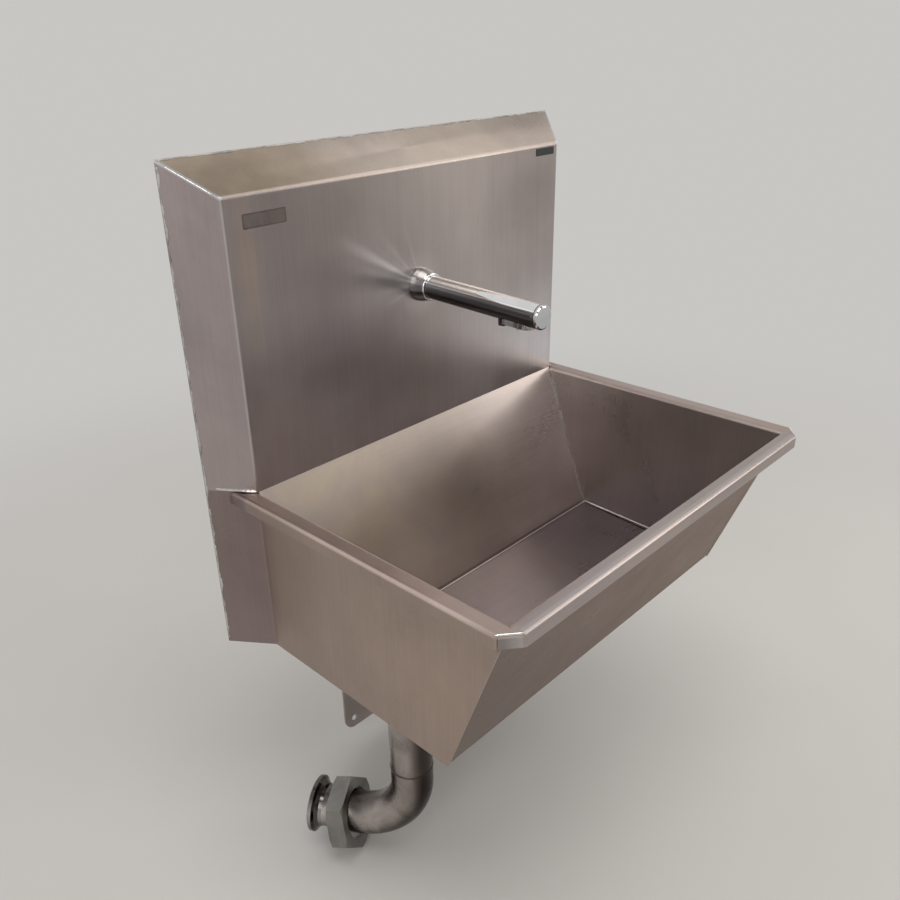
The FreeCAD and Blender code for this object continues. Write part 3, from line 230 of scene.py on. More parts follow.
class Shader(Graph):
    """One procedural material: a metallic or dielectric surface, masked in the sink's own frame."""

    def __init__(self, name, metallic=0.0, anisotropic=0.0):
        self.material = bpy.data.materials.new(name)
        self.material.use_nodes = True
        super().__init__(self.material.node_tree, "Object")
        self.surface = self.tree.nodes["Principled BSDF"]
        self.surface.inputs["Metallic"].default_value = metallic
        self.surface.inputs["Anisotropic"].default_value = anisotropic

    def done(self, colour, roughness, normal=None):
        self.feed(self.surface.inputs["Base Color"], colour)
        self.feed(self.surface.inputs["Roughness"], roughness)
        if normal is not None:
            self.feed(self.surface.inputs["Normal"], normal)
        return self.material


def grain_stretch(direction, across, along):
    return tuple(along if letter == direction else across for letter in AXES)


# Brushed grain: bands per metre across and along the grain.
FINE_GRAIN = (2300.0, 30.0)
GRIT_GRAIN = (700.0, 11.0)
BROAD_GRAIN = (60.0, 4.5)
WIDE_GRAIN = (17.0, 2.6)

# Painted fan of light round the spout, a reflection of its chrome collar: heading and half width in
# degrees, length, strength.
BEAMS = ((31.0, 5.5, 0.120, 0.62), (20.0, 5.5, 0.095, 0.46), (4.0, 8.0, 0.060, 0.40),
         (48.0, 5.0, 0.080, 0.16), (72.0, 5.5, 0.070, 0.14), (-14.0, 6.0, 0.048, 0.20))
BEAM_ROOT = 0.012
HALO_REACH = (0.034, 0.014)
HAZE_REACH = (0.115, 0.015)
HAZE_HEADING = math.radians(15.0)
HAZE_SPREAD = 0.8
FAN_COLOUR = (0.90, 0.855, 0.86)
RIM_HIGHLIGHT_COLOUR = (0.74, 0.70, 0.69)
LINE_TONE = (0.90, 0.89, 0.88)


def painted_light_fan(s, cloud):
    """Share of the painted fan of light, a reflection of the collar, on the front panel round the
    spout.
    """
    across, up = s.axis("x"), s.math("SUBTRACT", s.axis("z"), TAP_Z)
    reach = s.math("SQRT", s.math("ADD", s.times(across, across), s.times(up, up)))
    turn = s.math("ARCTAN2", up, s.times(across, -1.0))
    beams = []
    for heading, width, length, power in BEAMS:
        off = s.math("ABSOLUTE", s.math("SUBTRACT", turn, math.radians(heading)))
        beams.append(s.times(s.ramp(off, math.radians(width), 0.0),
                             s.ramp(reach, length, BEAM_ROOT), power))
    ragged = s.remap(cloud, 0.30, 0.60, 0.70, 1.0)
    halo = s.times(s.ramp(reach, *HALO_REACH), 0.16)
    aside = s.math("ABSOLUTE", s.math("SUBTRACT", turn, HAZE_HEADING))
    haze = s.times(s.ramp(reach, *HAZE_REACH), s.ramp(aside, HAZE_SPREAD, 0.0), 0.30)
    spread = s.math("ADD", s.most(beams), s.math("ADD", haze, halo), clamp=True)
    return s.times(front_panel(s), spread, ragged)


def brushed_steel(name, grain, light, dark, roughness, warm_share, marks, streaks=1.0, tones=(),
                  scale_film=None, fan=False, rim_highlight=None, lines=(), line_tone=LINE_TONE):
    """Satin sheet: fine grain in one direction, broad streaks, stains, marks, ground lines and
    painted highlights along bends, with an optional painted fan of light.
    """
    s = Shader(name, metallic=1.0, anisotropic=0.45)
    fine = s.noise(1.0, grain_stretch(grain, *FINE_GRAIN), detail=2.0, roughness=0.6)
    grit = s.noise(1.0, grain_stretch(grain, *GRIT_GRAIN), detail=3.0, roughness=0.65,
                   shift=(3.1, 1.7, 5.3))
    broad = s.noise(1.0, grain_stretch(grain, *BROAD_GRAIN), detail=5.0, roughness=0.66,
                    shift=(7.7, 2.1, 0.4))
    wide = s.noise(1.0, grain_stretch(grain, *WIDE_GRAIN), detail=3.0, shift=(1.3, 9.1, 4.2))
    cloud = s.noise(8.5, detail=6.0, roughness=0.66, shift=(0.7, 0.2, 0.9), distortion=0.35)
    patch = s.noise(3.2, detail=4.0, roughness=0.55, shift=(4.7, 3.2, 1.9), distortion=0.6)
    spots = s.noise(240.0, detail=3.0, roughness=0.7, shift=(2.2, 8.4, 6.1))

    streaky = s.math("ADD", s.times(s.remap(wide, 0.3, 0.7), 0.26 * streaks),
                     s.times(s.remap(cloud, 0.3, 0.7), 0.66))
    spread = s.math("ADD", s.times(s.remap(broad, 0.3, 0.7), 0.30 * streaks), streaky)
    colour = s.mix(s.math("MULTIPLY", spread, 0.8, clamp=True), dark, light)
    colour = s.mix(s.times(s.ramp(patch, 0.38, 0.66), warm_share), colour, WARM)
    colour = s.tone(s.remap(grit, 0.42, 0.62, 0.0, 0.30), colour, (0.86, 0.86, 0.87))
    dried = s.times(s.ramp(spots, 0.66, 0.80), s.ramp(cloud, 0.42, 0.62), marks)
    colour = s.mix(dried, colour, tuple(min(1.0, c * 1.25) for c in light))
    rough = s.math("ADD", s.remap(cloud, 0.25, 0.75, roughness - 0.06, roughness + 0.07),
                   s.remap(grit, 0.25, 0.75, -0.02, 0.02))
    if scale_film:
        region, film_colour, share = scale_film
        blotches = s.noise(11.0, detail=7.0, roughness=0.70, shift=(6.0, 1.0, 3.0), distortion=0.8)
        film = s.times(region(s), s.ramp(blotches, 0.34, 0.66, 0.30, 1.0), share)
        colour = s.mix(film, colour, film_colour)
        rough = s.math("ADD", rough, s.times(film, 0.07))
    for region, factor in tones:
        colour = s.tone(region(s), colour, factor)
    # Painted light: a fan of light reflected from the collar round the spout.
    if fan:
        glow = painted_light_fan(s, cloud)
        colour = s.mix(glow, colour, FAN_COLOUR)
        rough = s.math("SUBTRACT", rough, s.times(glow, 0.04))
    # Painted highlight along a rim's bend.
    if rim_highlight:
        rim_sheen = s.times(rim_highlight(s), s.remap(grit, 0.3, 0.7, 0.55, 1.0))
        colour = s.mix(rim_sheen, colour, RIM_HIGHLIGHT_COLOUR)
        rough = s.math("SUBTRACT", rough, s.times(rim_sheen, 0.05))
    # Ground weld lines, and painted highlights where the lines follow a bend.
    if lines:
        flecks = s.noise(130.0, detail=3.0, shift=(9.0, 4.0, 2.0))
        broken = s.remap(flecks, 0.3, 0.6, 0.5, 1.0)
        ground = s.times(s.most([s.near_line(*line) for line in lines]), broken)
        colour = s.mix(ground, colour, line_tone)
        rough = s.math("SUBTRACT", rough, s.times(ground, 0.10))

    normal = None
    for height, strength, depth in ((fine, 0.22, 0.00006), (grit, 0.30, 0.00008),
                                    (cloud, 0.35, 0.00030), (patch, 0.55, 0.0016)):
        normal = s.bump(height, strength, depth, after=normal)
    return s.done(colour, s.math("MAXIMUM", rough, 0.08), normal)


# ------------------------------------------------- regions of the sheets that look different

# Ramps that pick a surface, from share 0 to share 1, by its normal or by its place.
FACES_FRONT = (-0.90, -0.97)
FACES_DOWN = (-0.12, -0.26)
FACES_UP = (0.8, 0.95)
BACK_WALL_NORMAL = (-0.3, -0.6)
BACK_WALL_Y = (-0.094, -0.088)
FLOOR_HEIGHT = (0.02, 0.012)
OUTER_SKIN = (0.1930, 0.1937)

# Reaches so long that a soft cloud doesn't fade along that axis.
WHOLE_X = 2.0
WHOLE_Y = 0.5


def front_panel(s):
    return s.remap(s.facing("y"), *FACES_FRONT)


def on_panel(centre, reach, power=1.0):
    """A soft cloud of tone on the front panel, given by its centre and reach in x and z."""
    def region(s):
        middle = (centre[0], -BOX_DEPTH, centre[1])
        spot = s.near_point(middle, (reach[0], WHOLE_Y, reach[1]), power)
        return s.times(spot, front_panel(s))
    return region


def panel_foot_painted_light(s):
    """The foot of the panel above the bowl, painted lighter against the dark reflection of the
    bowl.
    """
    low = s.ramp(s.axis("z"), 0.275, 0.160)
    return s.times(low, front_panel(s), s.remap(s.axis("x"), -0.19, 0.12, 0.45, 1.0))


def sloping_top(s):
    return s.remap(s.facing("z"), 0.5, 0.7)


def top_left(s):
    """Left end of the sloping top, darker and yellower."""
    return s.times(sloping_top(s), s.ramp(s.axis("x"), -0.04, -0.16))


def splayed_side(s):
    return s.remap(s.math("ABSOLUTE", s.facing("x")), 0.6, 0.75)


def inside_back(s):
    return s.remap(s.facing("y"), *BACK_WALL_NORMAL)


def lime_film(s):
    """The bowl's back wall, where soap and lime have dried to a yellowish film at the left."""
    below_panel = s.remap(s.axis("z"), RIM_Z + 0.004, SEAM_TOP_Z)
    leftmost = s.ramp(s.axis("x"), 0.16, -0.12, 0.10, 1.0)
    return s.times(s.remap(s.axis("y"), *BACK_WALL_Y), inside_back(s), below_panel, leftmost)


def back_wall_right(s):
    """Right half of the bowl's back wall, less so towards the rim."""
    wall = s.times(s.remap(s.axis("y"), *BACK_WALL_Y), inside_back(s))
    below_rim = s.remap(s.axis("z"), RIM_Z, 0.105, 0.45, 1.0)
    return s.times(wall, below_rim, s.ramp(s.axis("x"), 0.0, 0.13))


def back_wall_middle(s):
    return s.times(inside_back(s), s.near_point((0.0, -0.055, 0.100), (0.12, 0.20, 0.10)))


def back_wall_low(s):
    """Foot of the back wall, lit again by the floor of the bowl."""
    return s.times(inside_back(s), s.near_point((-0.05, -0.080, 0.030), (0.14, 0.20, 0.055)))


def back_fold_shade(s):
    """Painted shade along the fold between the bowl's back wall and its floor."""
    ends = [(x, BACK_FOLD_Y - 0.0003, BACK_FOLD_Z) for x in (-FOLD_HALF, FOLD_HALF)]
    return s.near_line(*ends, 0.0032)


def bowl_floor(s):
    return s.times(s.remap(s.facing("z"), *FACES_UP), s.remap(s.axis("z"), *FLOOR_HEIGHT))


def floor_right(s):
    """Right-hand end of the bowl's floor, darkened."""
    return s.times(bowl_floor(s), s.ramp(s.axis("x"), 0.02, 0.13))


def front_outside(s):
    """Outside of the trough's front wall, fading out along the underside of its floor: painted
    shade on the faces that look down.
    """
    return s.times(s.remap(s.facing("z"), *FACES_DOWN), s.ramp(s.axis("y"), -0.16, -0.25))


def turned_edge(s):
    """Turned-down edge of the front rim."""
    return s.times(s.remap(s.axis("y"), -0.2990, -0.3010), s.remap(s.facing("z"), -0.5, -0.2))


def front_rim_bend_highlight(s):
    """Painted highlight along the front rim's bend."""
    ends = [(x, RIM_FRONT_Y + 0.003, RIM_Z) for x in (-FOLD_HALF, FOLD_HALF)]
    return s.near_line(*ends, 0.0040, 0.36)


def left_lip(s):
    """Left end of the front rim's flat top."""
    return s.times(s.remap(s.axis("x"), -0.1880, -0.1915),
                   s.remap(s.axis("z"), SEAM_TOP_Z, RIM_Z - 0.001))


def outer_face(s):
    """Outer skin of a bowl side panel."""
    return s.remap(s.math("ABSOLUTE", s.axis("x")), *OUTER_SKIN)


def side_cloud(centre, reach):
    """A soft cloud of tone on the side panels' outer faces, given in y and z."""
    def region(s):
        spot = s.near_point((-SIDE_SKIN_X, *centre), (WHOLE_X, *reach))
        return s.times(outer_face(s), spot)
    return region


def splayed_wing(s):
    """The part of a bowl side panel that runs back to the wall."""
    return s.times(s.remap(s.axis("y"), -0.040, -0.034), outer_face(s))


def inside_right(s):
    """Inner face of the right-hand side panel."""
    return s.times(s.remap(s.axis("x"), 0.10, 0.18), s.remap(s.facing("x"), -0.4, -0.8))


def rim_bend_highlight(s):
    """Painted highlight along the side rims' outer bend, lighter than the panel below it."""
    half, height = RIM_HALF - 0.0006, RIM_Z - 0.0007
    ends = [s.near_line((x, -0.022, height), (x, -0.300, height), 0.0026) for x in (-half, half)]
    forward = s.remap(s.axis("y"), -0.03, -0.20, 0.55, 1.0)
    corner = s.remap(s.axis("y"), -0.302, -0.270, 0.25, 1.0)
    return s.times(s.most(ends), forward, corner)


def side_lip_painted_light(s):
    """The side rims' flat top, with painted light growing towards the front to the tone of the
    front rim.
    """
    flat = s.times(s.remap(s.axis("z"), RIM_Z - 0.003, RIM_Z - 0.001),
                   s.remap(s.facing("z"), *FACES_UP))
    return s.times(flat, s.ramp(s.axis("y"), -0.03, -0.22, 0.45, 1.0))


def rim_hollow_shade(s):
    """Painted shade in the hollow under the rim that the slot beside a corner strip shows."""
    reach = (0.0120, 0.0125, 0.0100)
    spots = [s.near_point((x, -0.2895, RIM_Z - 0.0180), reach) for x in (-0.1965, 0.1965)]
    return s.times(s.most(spots), outer_face(s))


def corner_face_shade(s):
    """Face of a corner strip, with painted shade that deepens towards the slot at its side."""
    toward_slot = s.remap(s.axis("y"), -0.3125, -0.3035, 0.45, 1.0)
    return s.times(s.remap(s.axis("z"), RIM_Z - 0.0012, RIM_Z - 0.0035), toward_slot)


def on_both_hands(lines):
    """The given lines and their mirror images at the other side."""
    both = []
    for start, end, width, power in lines:
        both.append((start, end, width, power))
        both.append(((-start[0], *start[1:]), (-end[0], *end[1:]), width, power))
    return both


def bowl_seams(x):
    """Ground weld lines between the trough and the side panels: back, floor and front."""
    top_back = (-x, BACK_TOP_Y, SEAM_TOP_Z)
    low_back = (-x, BACK_FOLD_Y, BACK_FOLD_Z)
    low_front = (-x, FRONT_FOLD_Y, FRONT_FOLD_Z)
    top_front = (-x, FRONT_TOP_Y, SEAM_TOP_Z)
    return on_both_hands([(low_back, top_back, 0.0020, 0.55), (low_back, low_front, 0.0018, 0.40),
                          (low_front, top_front, 0.0018, 0.5)])


# ------------------------------------------------- materials

GREY_LIGHT = (0.610, 0.555, 0.540)
GREY_DARK = (0.405, 0.365, 0.355)
WARM = (0.575, 0.505, 0.425)
HOLLOW_SHADE_TONE = (0.10, 0.09, 0.085)

# Lines along the splash box: on the top seams, ground welds with a painted highlight; down the
# front edges and along the front top bend, painted highlights.
box_corner = (-HALF_AT_FRONT, -BOX_DEPTH, BOX_TOP_AT_FRONT)
box_foot = (-HALF_AT_FRONT, -BOX_DEPTH, RIM_Z + 0.01)
box_back_corner = (-HALF_AT_WALL, 0.0, BOX_TOP_AT_WALL)
box_far_corner = (HALF_AT_FRONT, -BOX_DEPTH, BOX_TOP_AT_FRONT)
box_edges = on_both_hands([(box_corner, box_back_corner, 0.0024, 1.0),
                           (box_foot, box_corner, 0.0012, 0.16)])

splash_steel = brushed_steel(
    "satin_sheet_upright_grain", "z", GREY_LIGHT, GREY_DARK, 0.33,
    warm_share=0.28, marks=0.03, streaks=0.9, fan=True,
    tones=[
        (on_panel((-0.155, 0.375), (0.24, 0.26)), (0.61, 0.575, 0.575)),
        (on_panel((-0.07, 0.255), (0.20, 0.15)), (0.80, 0.80, 0.85)),
        (on_panel((-0.177, 0.330), (0.018, 0.10), 0.8), (1.22, 1.15, 1.02)),
        (on_panel((0.165, 0.350), (0.10, 0.12)), (0.84, 0.80, 0.80)),
        (on_panel((0.075, 0.335), (0.10, 0.09), 0.8), (1.02, 0.99, 1.00)),
        (panel_foot_painted_light, (1.52, 1.64, 1.74)),
        # Painted light: the sloping top, which faces up, is lighter and warmer.
        (sloping_top, (1.19, 1.14, 1.07)),
        (top_left, (0.78, 0.74, 0.64)),
        (splayed_side, (0.88, 0.83, 0.85)),
    ],
    lines=box_edges + [(box_corner, box_far_corner, 0.0012, 0.05)],
    line_tone=(0.84, 0.87, 0.92))
trough_steel = brushed_steel(
    "satin_sheet_bowl_trough", "x", GREY_LIGHT, (0.40, 0.345, 0.33), 0.30,
    warm_share=0.40, marks=0.04, streaks=0.6, scale_film=(lime_film, (0.63, 0.535, 0.415), 0.75),
    rim_highlight=front_rim_bend_highlight,
    tones=[
        (front_outside, (0.325, 0.200, 0.138)),
        (turned_edge, (0.84, 0.82, 0.84)),
        (back_wall_right, (1.62, 1.64, 1.68)),
        (back_wall_middle, (0.86, 0.86, 0.87)),
        (back_wall_low, (1.26, 1.34, 1.40)),
        (back_fold_shade, (0.60, 0.59, 0.59)),
        (rim_hollow_shade, HOLLOW_SHADE_TONE),
        (bowl_floor, (0.62, 0.60, 0.62)),
        (floor_right, (0.66, 0.66, 0.70)),
        (left_lip, (1.12, 1.09, 1.06)),
    ],
    lines=bowl_seams(TROUGH_SEAM_X))
side_steel = brushed_steel(
    "satin_sheet_bowl_side", "z", (0.60, 0.545, 0.515), (0.41, 0.370, 0.345), 0.31,
    warm_share=0.50, marks=0.05, streaks=0.55,
    tones=[
        (outer_face, (0.80, 0.70, 0.65)),
        (side_cloud((-0.215, 0.055), (0.13, 0.10)), (1.16, 1.14, 1.10)),
        (splayed_wing, (0.72, 0.73, 0.84)),
        (inside_right, (1.05, 1.06, 1.10)),
        (rim_bend_highlight, (1.66, 1.66, 1.72)),
        (side_cloud((-0.050, 0.090), (0.085, 0.14)), (0.83, 0.81, 0.80)),
        (rim_hollow_shade, HOLLOW_SHADE_TONE),
        (side_lip_painted_light, (1.17, 1.19, 1.24)),
    ],
    lines=bowl_seams(SIDE_SEAM_X))
corner_steel = brushed_steel(
    "ground_corner_steel", "x", (0.84, 0.80, 0.78), (0.50, 0.46, 0.44), 0.20,
    warm_share=0.2, marks=0.05, tones=[(corner_face_shade, (0.44, 0.43, 0.44))])
plate_steel = brushed_steel(
    "satin_wall_plate", "x", (0.56, 0.50, 0.485), (0.38, 0.34, 0.33), 0.36,
    warm_share=0.3, marks=0.15)


SHADOW_TONE = (0.17, 0.145, 0.14)
HALF_SHADOW_TONE = (0.50, 0.48, 0.465)
DIRT_COLOUR = (0.16, 0.13, 0.10)
STRAW_COLOUR = (0.30, 0.20, 0.13)


def round_steel(name, light, dark, roughness, grain=None, tint_at=None, shade=0.0):
    """Dull polished tube or turned piece: turned lines, blotches, shade, and tint beside a weld."""
    s = Shader(name, metallic=1.0, anisotropic=0.25)
    stretch = grain_stretch(grain, 240.0, 1500.0) if grain else (900.0, 900.0, 900.0)
    fine = s.noise(1.0, stretch, detail=2.0, roughness=0.6)
    cloud = s.noise(34.0, detail=5.0, roughness=0.6, distortion=0.5)
    specks = s.noise(420.0, detail=2.0, shift=(4.0, 1.0, 2.0))
    colour = s.mix(s.remap(cloud, 0.32, 0.68), dark, light)
    dirt = s.times(s.ramp(specks, 0.62, 0.75), s.ramp(cloud, 0.55, 0.40), 0.35)
    colour = s.mix(dirt, colour, DIRT_COLOUR)
    if shade:
        waver = s.remap(cloud, 0.3, 0.7, -0.10, 0.10)
        under = s.ramp(s.math("ADD", s.facing("z"), waver), 0.10, -0.55)
        rightward = s.math("ADD", s.times(s.facing("x"), 0.85), s.times(s.facing("y"), -0.52))
        far_side = s.ramp(s.math("ADD", rightward, waver), -0.30, 0.30)
        inner = s.times(s.ramp(s.facing("z"), 0.55, 0.95), 0.8)
        darkest = s.times(s.most([under, far_side, inner]), shade)
        colour = s.tone(darkest, colour, SHADOW_TONE)
        colour = s.tone(s.times(s.ramp(rightward, -0.50, 0.05), shade), colour, HALF_SHADOW_TONE)
    if tint_at:
        mottle = s.remap(s.noise(90.0, detail=3.0), 0.3, 0.7, 0.35, 0.85)
        straw = s.times(s.near_line(*tint_at), mottle)
        colour = s.mix(straw, colour, STRAW_COLOUR)
    rough = s.remap(cloud, 0.25, 0.75, roughness - 0.05, roughness + 0.09)
    rough = s.math("ADD", rough, s.times(dirt, 0.3))
    normal = s.bump(fine, 0.18, 0.00005)
    return s.done(colour, rough, s.bump(cloud, 0.25, 0.0004, after=normal))


def chrome_finish(name, light, dark, painted_band=0.0, roughness=0.035, joint=False):
    """Mirror chrome with wiped smears and dried drops.

    The band argument gives the strength of a painted reflection on the spout: a dark band over its
    sides and underside, below a bright line. joint adds its end cap's dark line.
    """
    s = Shader(name, metallic=1.0)
    smear = s.noise(26.0, detail=5.0, roughness=0.65, distortion=0.9)
    drops = s.noise(330.0, detail=1.0, shift=(1.0, 2.0, 3.0))
    scratch = s.noise(1.0, grain_stretch("y", 1700.0, 40.0), detail=2.0, shift=(5.0, 5.0, 1.0))
    dried = s.times(s.ramp(drops, 0.66, 0.72), s.ramp(smear, 0.45, 0.6), 0.55)
    colour = s.mix(s.remap(smear, 0.35, 0.65), dark, light)
    colour = s.mix(dried, colour, (0.62, 0.62, 0.60))
    if painted_band:
        # Painted reflection: a dark band over the sides and underside, with a bright line above it.
        height = s.math("ADD", s.facing("z"), s.remap(smear, 0.3, 0.7, -0.015, 0.015))
        soil_and_dark_band = s.times(s.remap(height, 0.575, 0.520), s.remap(height, -0.86, -0.74), painted_band)
        colour = s.tone(soil_and_dark_band, colour, (0.21, 0.215, 0.225))
        edge = s.times(s.remap(height, 0.515, 0.545), s.remap(height, 0.645, 0.600), painted_band)
        colour = s.mix(edge, colour, (0.97, 0.97, 0.97))
    if joint:
        off = s.math("ABSOLUTE", s.math("ADD", s.axis("y"), SPOUT_JOINT))
        gap = s.remap(off, JOINT_WIDTH, JOINT_WIDTH * 0.5)
        colour = s.mix(gap, colour, (0.06, 0.055, 0.055))
    rough = s.math("ADD", s.remap(smear, 0.35, 0.7, roughness, roughness + 0.075),
                   s.times(dried, 0.3))
    rough = s.math("ADD", rough, s.times(s.ramp(scratch, 0.68, 0.78), 0.10))
    normal = s.bump(smear, 0.12, 0.00025)
    return s.done(colour, rough, s.bump(scratch, 0.08, 0.00002, after=normal))


def aerator_finish():
    """Wiped chrome outside, with painted shade inside the ring and on the notches' inner faces."""
    s = Shader("scaled_aerator_chrome_painted_shade", metallic=1.0)
    crust = s.noise(260.0, detail=4.0, roughness=0.65, distortion=0.5)
    across = s.axis("x")
    along = s.math("SUBTRACT", s.axis("y"), AERATOR_Y)
    reach = s.math("SQRT", s.math("ADD", s.times(across, across), s.times(along, along)))
    colour = s.mix(s.remap(crust, 0.3, 0.7), (0.50, 0.46, 0.41), (0.86, 0.81, 0.74))
    # Painted shade inside the ring.
    colour = s.mix(s.remap(reach, *AERATOR_SKIN), colour, (0.045, 0.038, 0.034))
    return s.done(colour, s.remap(crust, 0.3, 0.7, 0.14, 0.34), s.bump(crust, 0.25, 0.00008))


def housing_finish():
    """Sensor housing's dull chrome, soiled in drips round the aerator."""
    s = Shader("dull_housing_chrome", metallic=1.0)
    cloud = s.noise(110.0, detail=4.0, roughness=0.6, distortion=0.5)
    drips = s.noise(1.0, (520.0, 520.0, 60.0), detail=3.0, roughness=0.6, shift=(2.0, 5.0, 1.0))
    colour = s.mix(s.remap(cloud, 0.3, 0.7), (0.50, 0.50, 0.51), (0.72, 0.715, 0.71))
    front_end = s.ramp(s.axis("y"), HOUSING_SOIL_Y, HOUSING_SOIL_Y - HOUSING_SOIL_RUN)
    soil_and_dark_band = s.times(front_end, s.ramp(drips, 0.40, 0.56, 0.35, 1.0))
    colour = s.tone(soil_and_dark_band, colour, (0.26, 0.225, 0.20))
    return s.done(colour, s.remap(cloud, 0.3, 0.7, 0.16, 0.34), s.bump(drips, 0.2, 0.00008))


def brass_finish():
    """Turned brass with dull brown blotches."""
    s = Shader("machined_brass", metallic=1.0)
    dull = s.noise(48.0, detail=5.0, roughness=0.65, distortion=0.4)
    turned = s.noise(1.0, (260.0, 260.0, 1900.0), detail=2.0)
    colour = s.mix(s.remap(dull, 0.3, 0.7), (0.50, 0.34, 0.15), (0.78, 0.60, 0.32))
    colour = s.mix(s.ramp(dull, 0.58, 0.75, 0.0, 0.5), colour, (0.34, 0.21, 0.11))
    return s.done(colour, s.remap(dull, 0.25, 0.75, 0.22, 0.42), s.bump(turned, 0.2, 0.00006))


def plastic_finish(name, light, dark, roughness, grain=650.0):
    """Moulded plastic, lacquer or rubber with a fine leather grain and dust."""
    s = Shader(name)
    leather = s.noise(grain, detail=3.0, roughness=0.6)
    dust = s.noise(22.0, detail=5.0, roughness=0.7, distortion=0.5)
    colour = s.mix(s.remap(dust, 0.3, 0.7), dark, light)
    rough = s.remap(dust, 0.25, 0.75, roughness - 0.08, roughness + 0.1)
    return s.done(colour, rough, s.bump(leather, 0.25, 0.0001))


def glass_finish():
    """Almost black window of the sensor, with a greasy smear."""
    s = Shader("dark_sensor_glass")
    s.surface.inputs["Specular IOR Level"].default_value = 0.6
    smear = s.noise(140.0, detail=4.0, roughness=0.6)
    colour = s.mix(s.remap(smear, 0.3, 0.7), (0.018, 0.008, 0.012), (0.040, 0.020, 0.026))
    return s.done(colour, s.remap(smear, 0.3, 0.7, 0.05, 0.16), s.bump(smear, 0.05, 0.0001))


def sealant_finish():
    """Lumpy sealant with grime on it."""
    s = Shader("old_wall_sealant")
    lumps = s.noise(120.0, detail=5.0, roughness=0.65, distortion=0.7)
    grime = s.noise(36.0, detail=5.0, roughness=0.7, shift=(3.0, 3.0, 8.0))
    colour = s.mix(s.ramp(grime, 0.38, 0.66), (0.52, 0.51, 0.49), (0.20, 0.19, 0.175))
    return s.done(colour, s.remap(lumps, 0.3, 0.7, 0.45, 0.75), s.bump(lumps, 0.5, 0.0006))


def etched_finish():
    """Chemically darkened bare field with a fine matt tooth, rubbed streaks and a border."""
    s = Shader("etched_dark_field", metallic=1.0)
    tooth = s.noise(1500.0, detail=3.0, roughness=0.7)
    rub = s.noise(1.0, (150.0, 150.0, 90.0), detail=5.0, roughness=0.65)
    colour = s.mix(s.remap(rub, 0.32, 0.68), (0.150, 0.130, 0.122), (0.215, 0.188, 0.176))
    border = []
    for letter, (low, high) in zip("xz", PLATE_BOX):
        off = s.math("ABSOLUTE", s.math("SUBTRACT", s.axis(letter), (low + high) / 2))
        border.append(s.remap(off, *[(high - low) / 2 - inset for inset in PLATE_BORDER]))
    colour = s.tone(s.times(s.most(border), 0.6), colour, (0.60, 0.58, 0.58))
    return s.done(colour, s.remap(rub, 0.25, 0.75, 0.42, 0.60), s.bump(tooth, 0.5, 0.00008))


weld_tint_at = ((WASTE_X, WASTE_Y, ELBOW_TOP_Z - 0.001), (WASTE_X, WASTE_Y, ELBOW_TOP_Z + 0.001),
                WASTE_R + 0.0035)
tube_steel = round_steel("dull_polished_tube", (0.42, 0.372, 0.35), (0.26, 0.232, 0.22), 0.23,
                         grain="z", tint_at=weld_tint_at, shade=0.85)
elbow_steel = round_steel("dull_polished_elbow", (0.44, 0.40, 0.37), (0.27, 0.245, 0.225), 0.24,
                          tint_at=weld_tint_at, shade=1.0)
liner_steel = round_steel("bright_turned_liner", (0.60, 0.57, 0.55), (0.30, 0.285, 0.275), 0.15,
                          shade=0.8)
nut_steel = round_steel("machined_union_nut", (0.315, 0.30, 0.285), (0.205, 0.195, 0.185), 0.40)
strainer_steel = round_steel("polished_strainer", (0.66, 0.60, 0.57), (0.46, 0.42, 0.39), 0.22)
weld_metal = round_steel("bright_weld_metal", (0.88, 0.87, 0.86), (0.62, 0.60, 0.58), 0.19)
bowl_weld = round_steel("ground_bowl_weld", (0.60, 0.57, 0.55), (0.40, 0.375, 0.36), 0.26)
corner_weld = round_steel("bright_corner_weld", (0.96, 0.95, 0.94), (0.80, 0.78, 0.77), 0.14)
tinted_weld = round_steel("heat_tinted_weld", (0.19, 0.155, 0.135), (0.10, 0.082, 0.072), 0.32,
                          shade=0.6)

ring_chrome = chrome_finish("bright_chrome_ring", (0.97, 0.97, 0.97), (0.90, 0.90, 0.90),
                            roughness=0.10)
chrome = chrome_finish("mirror_chrome", (0.80, 0.80, 0.805), (0.70, 0.70, 0.71))
# The spout's tube and the collar carry the painted reflection band, the worn collar a weaker one.
tube_chrome = chrome_finish("mirror_chrome_spout", (0.88, 0.88, 0.885), (0.78, 0.78, 0.79),
                            painted_band=1.0, joint=True)
cap_chrome = chrome_finish("mirror_chrome_cap", (0.78, 0.79, 0.81), (0.60, 0.61, 0.635), joint=True)
collar_chrome = chrome_finish("worn_chrome_collar_painted_band", (0.66, 0.65, 0.65), (0.40, 0.39, 0.39),
                              painted_band=0.55, roughness=0.10)
aerator_chrome = aerator_finish()
housing_chrome = housing_finish()
brass = brass_finish()

black_plastic = plastic_finish("black_moulded_plastic", (0.060, 0.060, 0.064),
                               (0.030, 0.030, 0.033), 0.46)
pale_plastic = plastic_finish("pale_moulded_plastic", (0.66, 0.655, 0.63),
                              (0.55, 0.545, 0.52), 0.48)
board_green = plastic_finish("circuit_board_lacquer", (0.035, 0.13, 0.065), (0.018, 0.075, 0.038),
                             0.33, grain=1400.0)
rubber = plastic_finish("black_rubber", (0.045, 0.045, 0.045), (0.020, 0.020, 0.020), 0.70,
                        grain=1500.0)
label_black = plastic_finish("glossy_dark_label", (0.030, 0.032, 0.036),
                             (0.014, 0.015, 0.018), 0.20, grain=900.0)
sensor_glass = glass_finish()
sealant = sealant_finish()
etched = etched_finish()

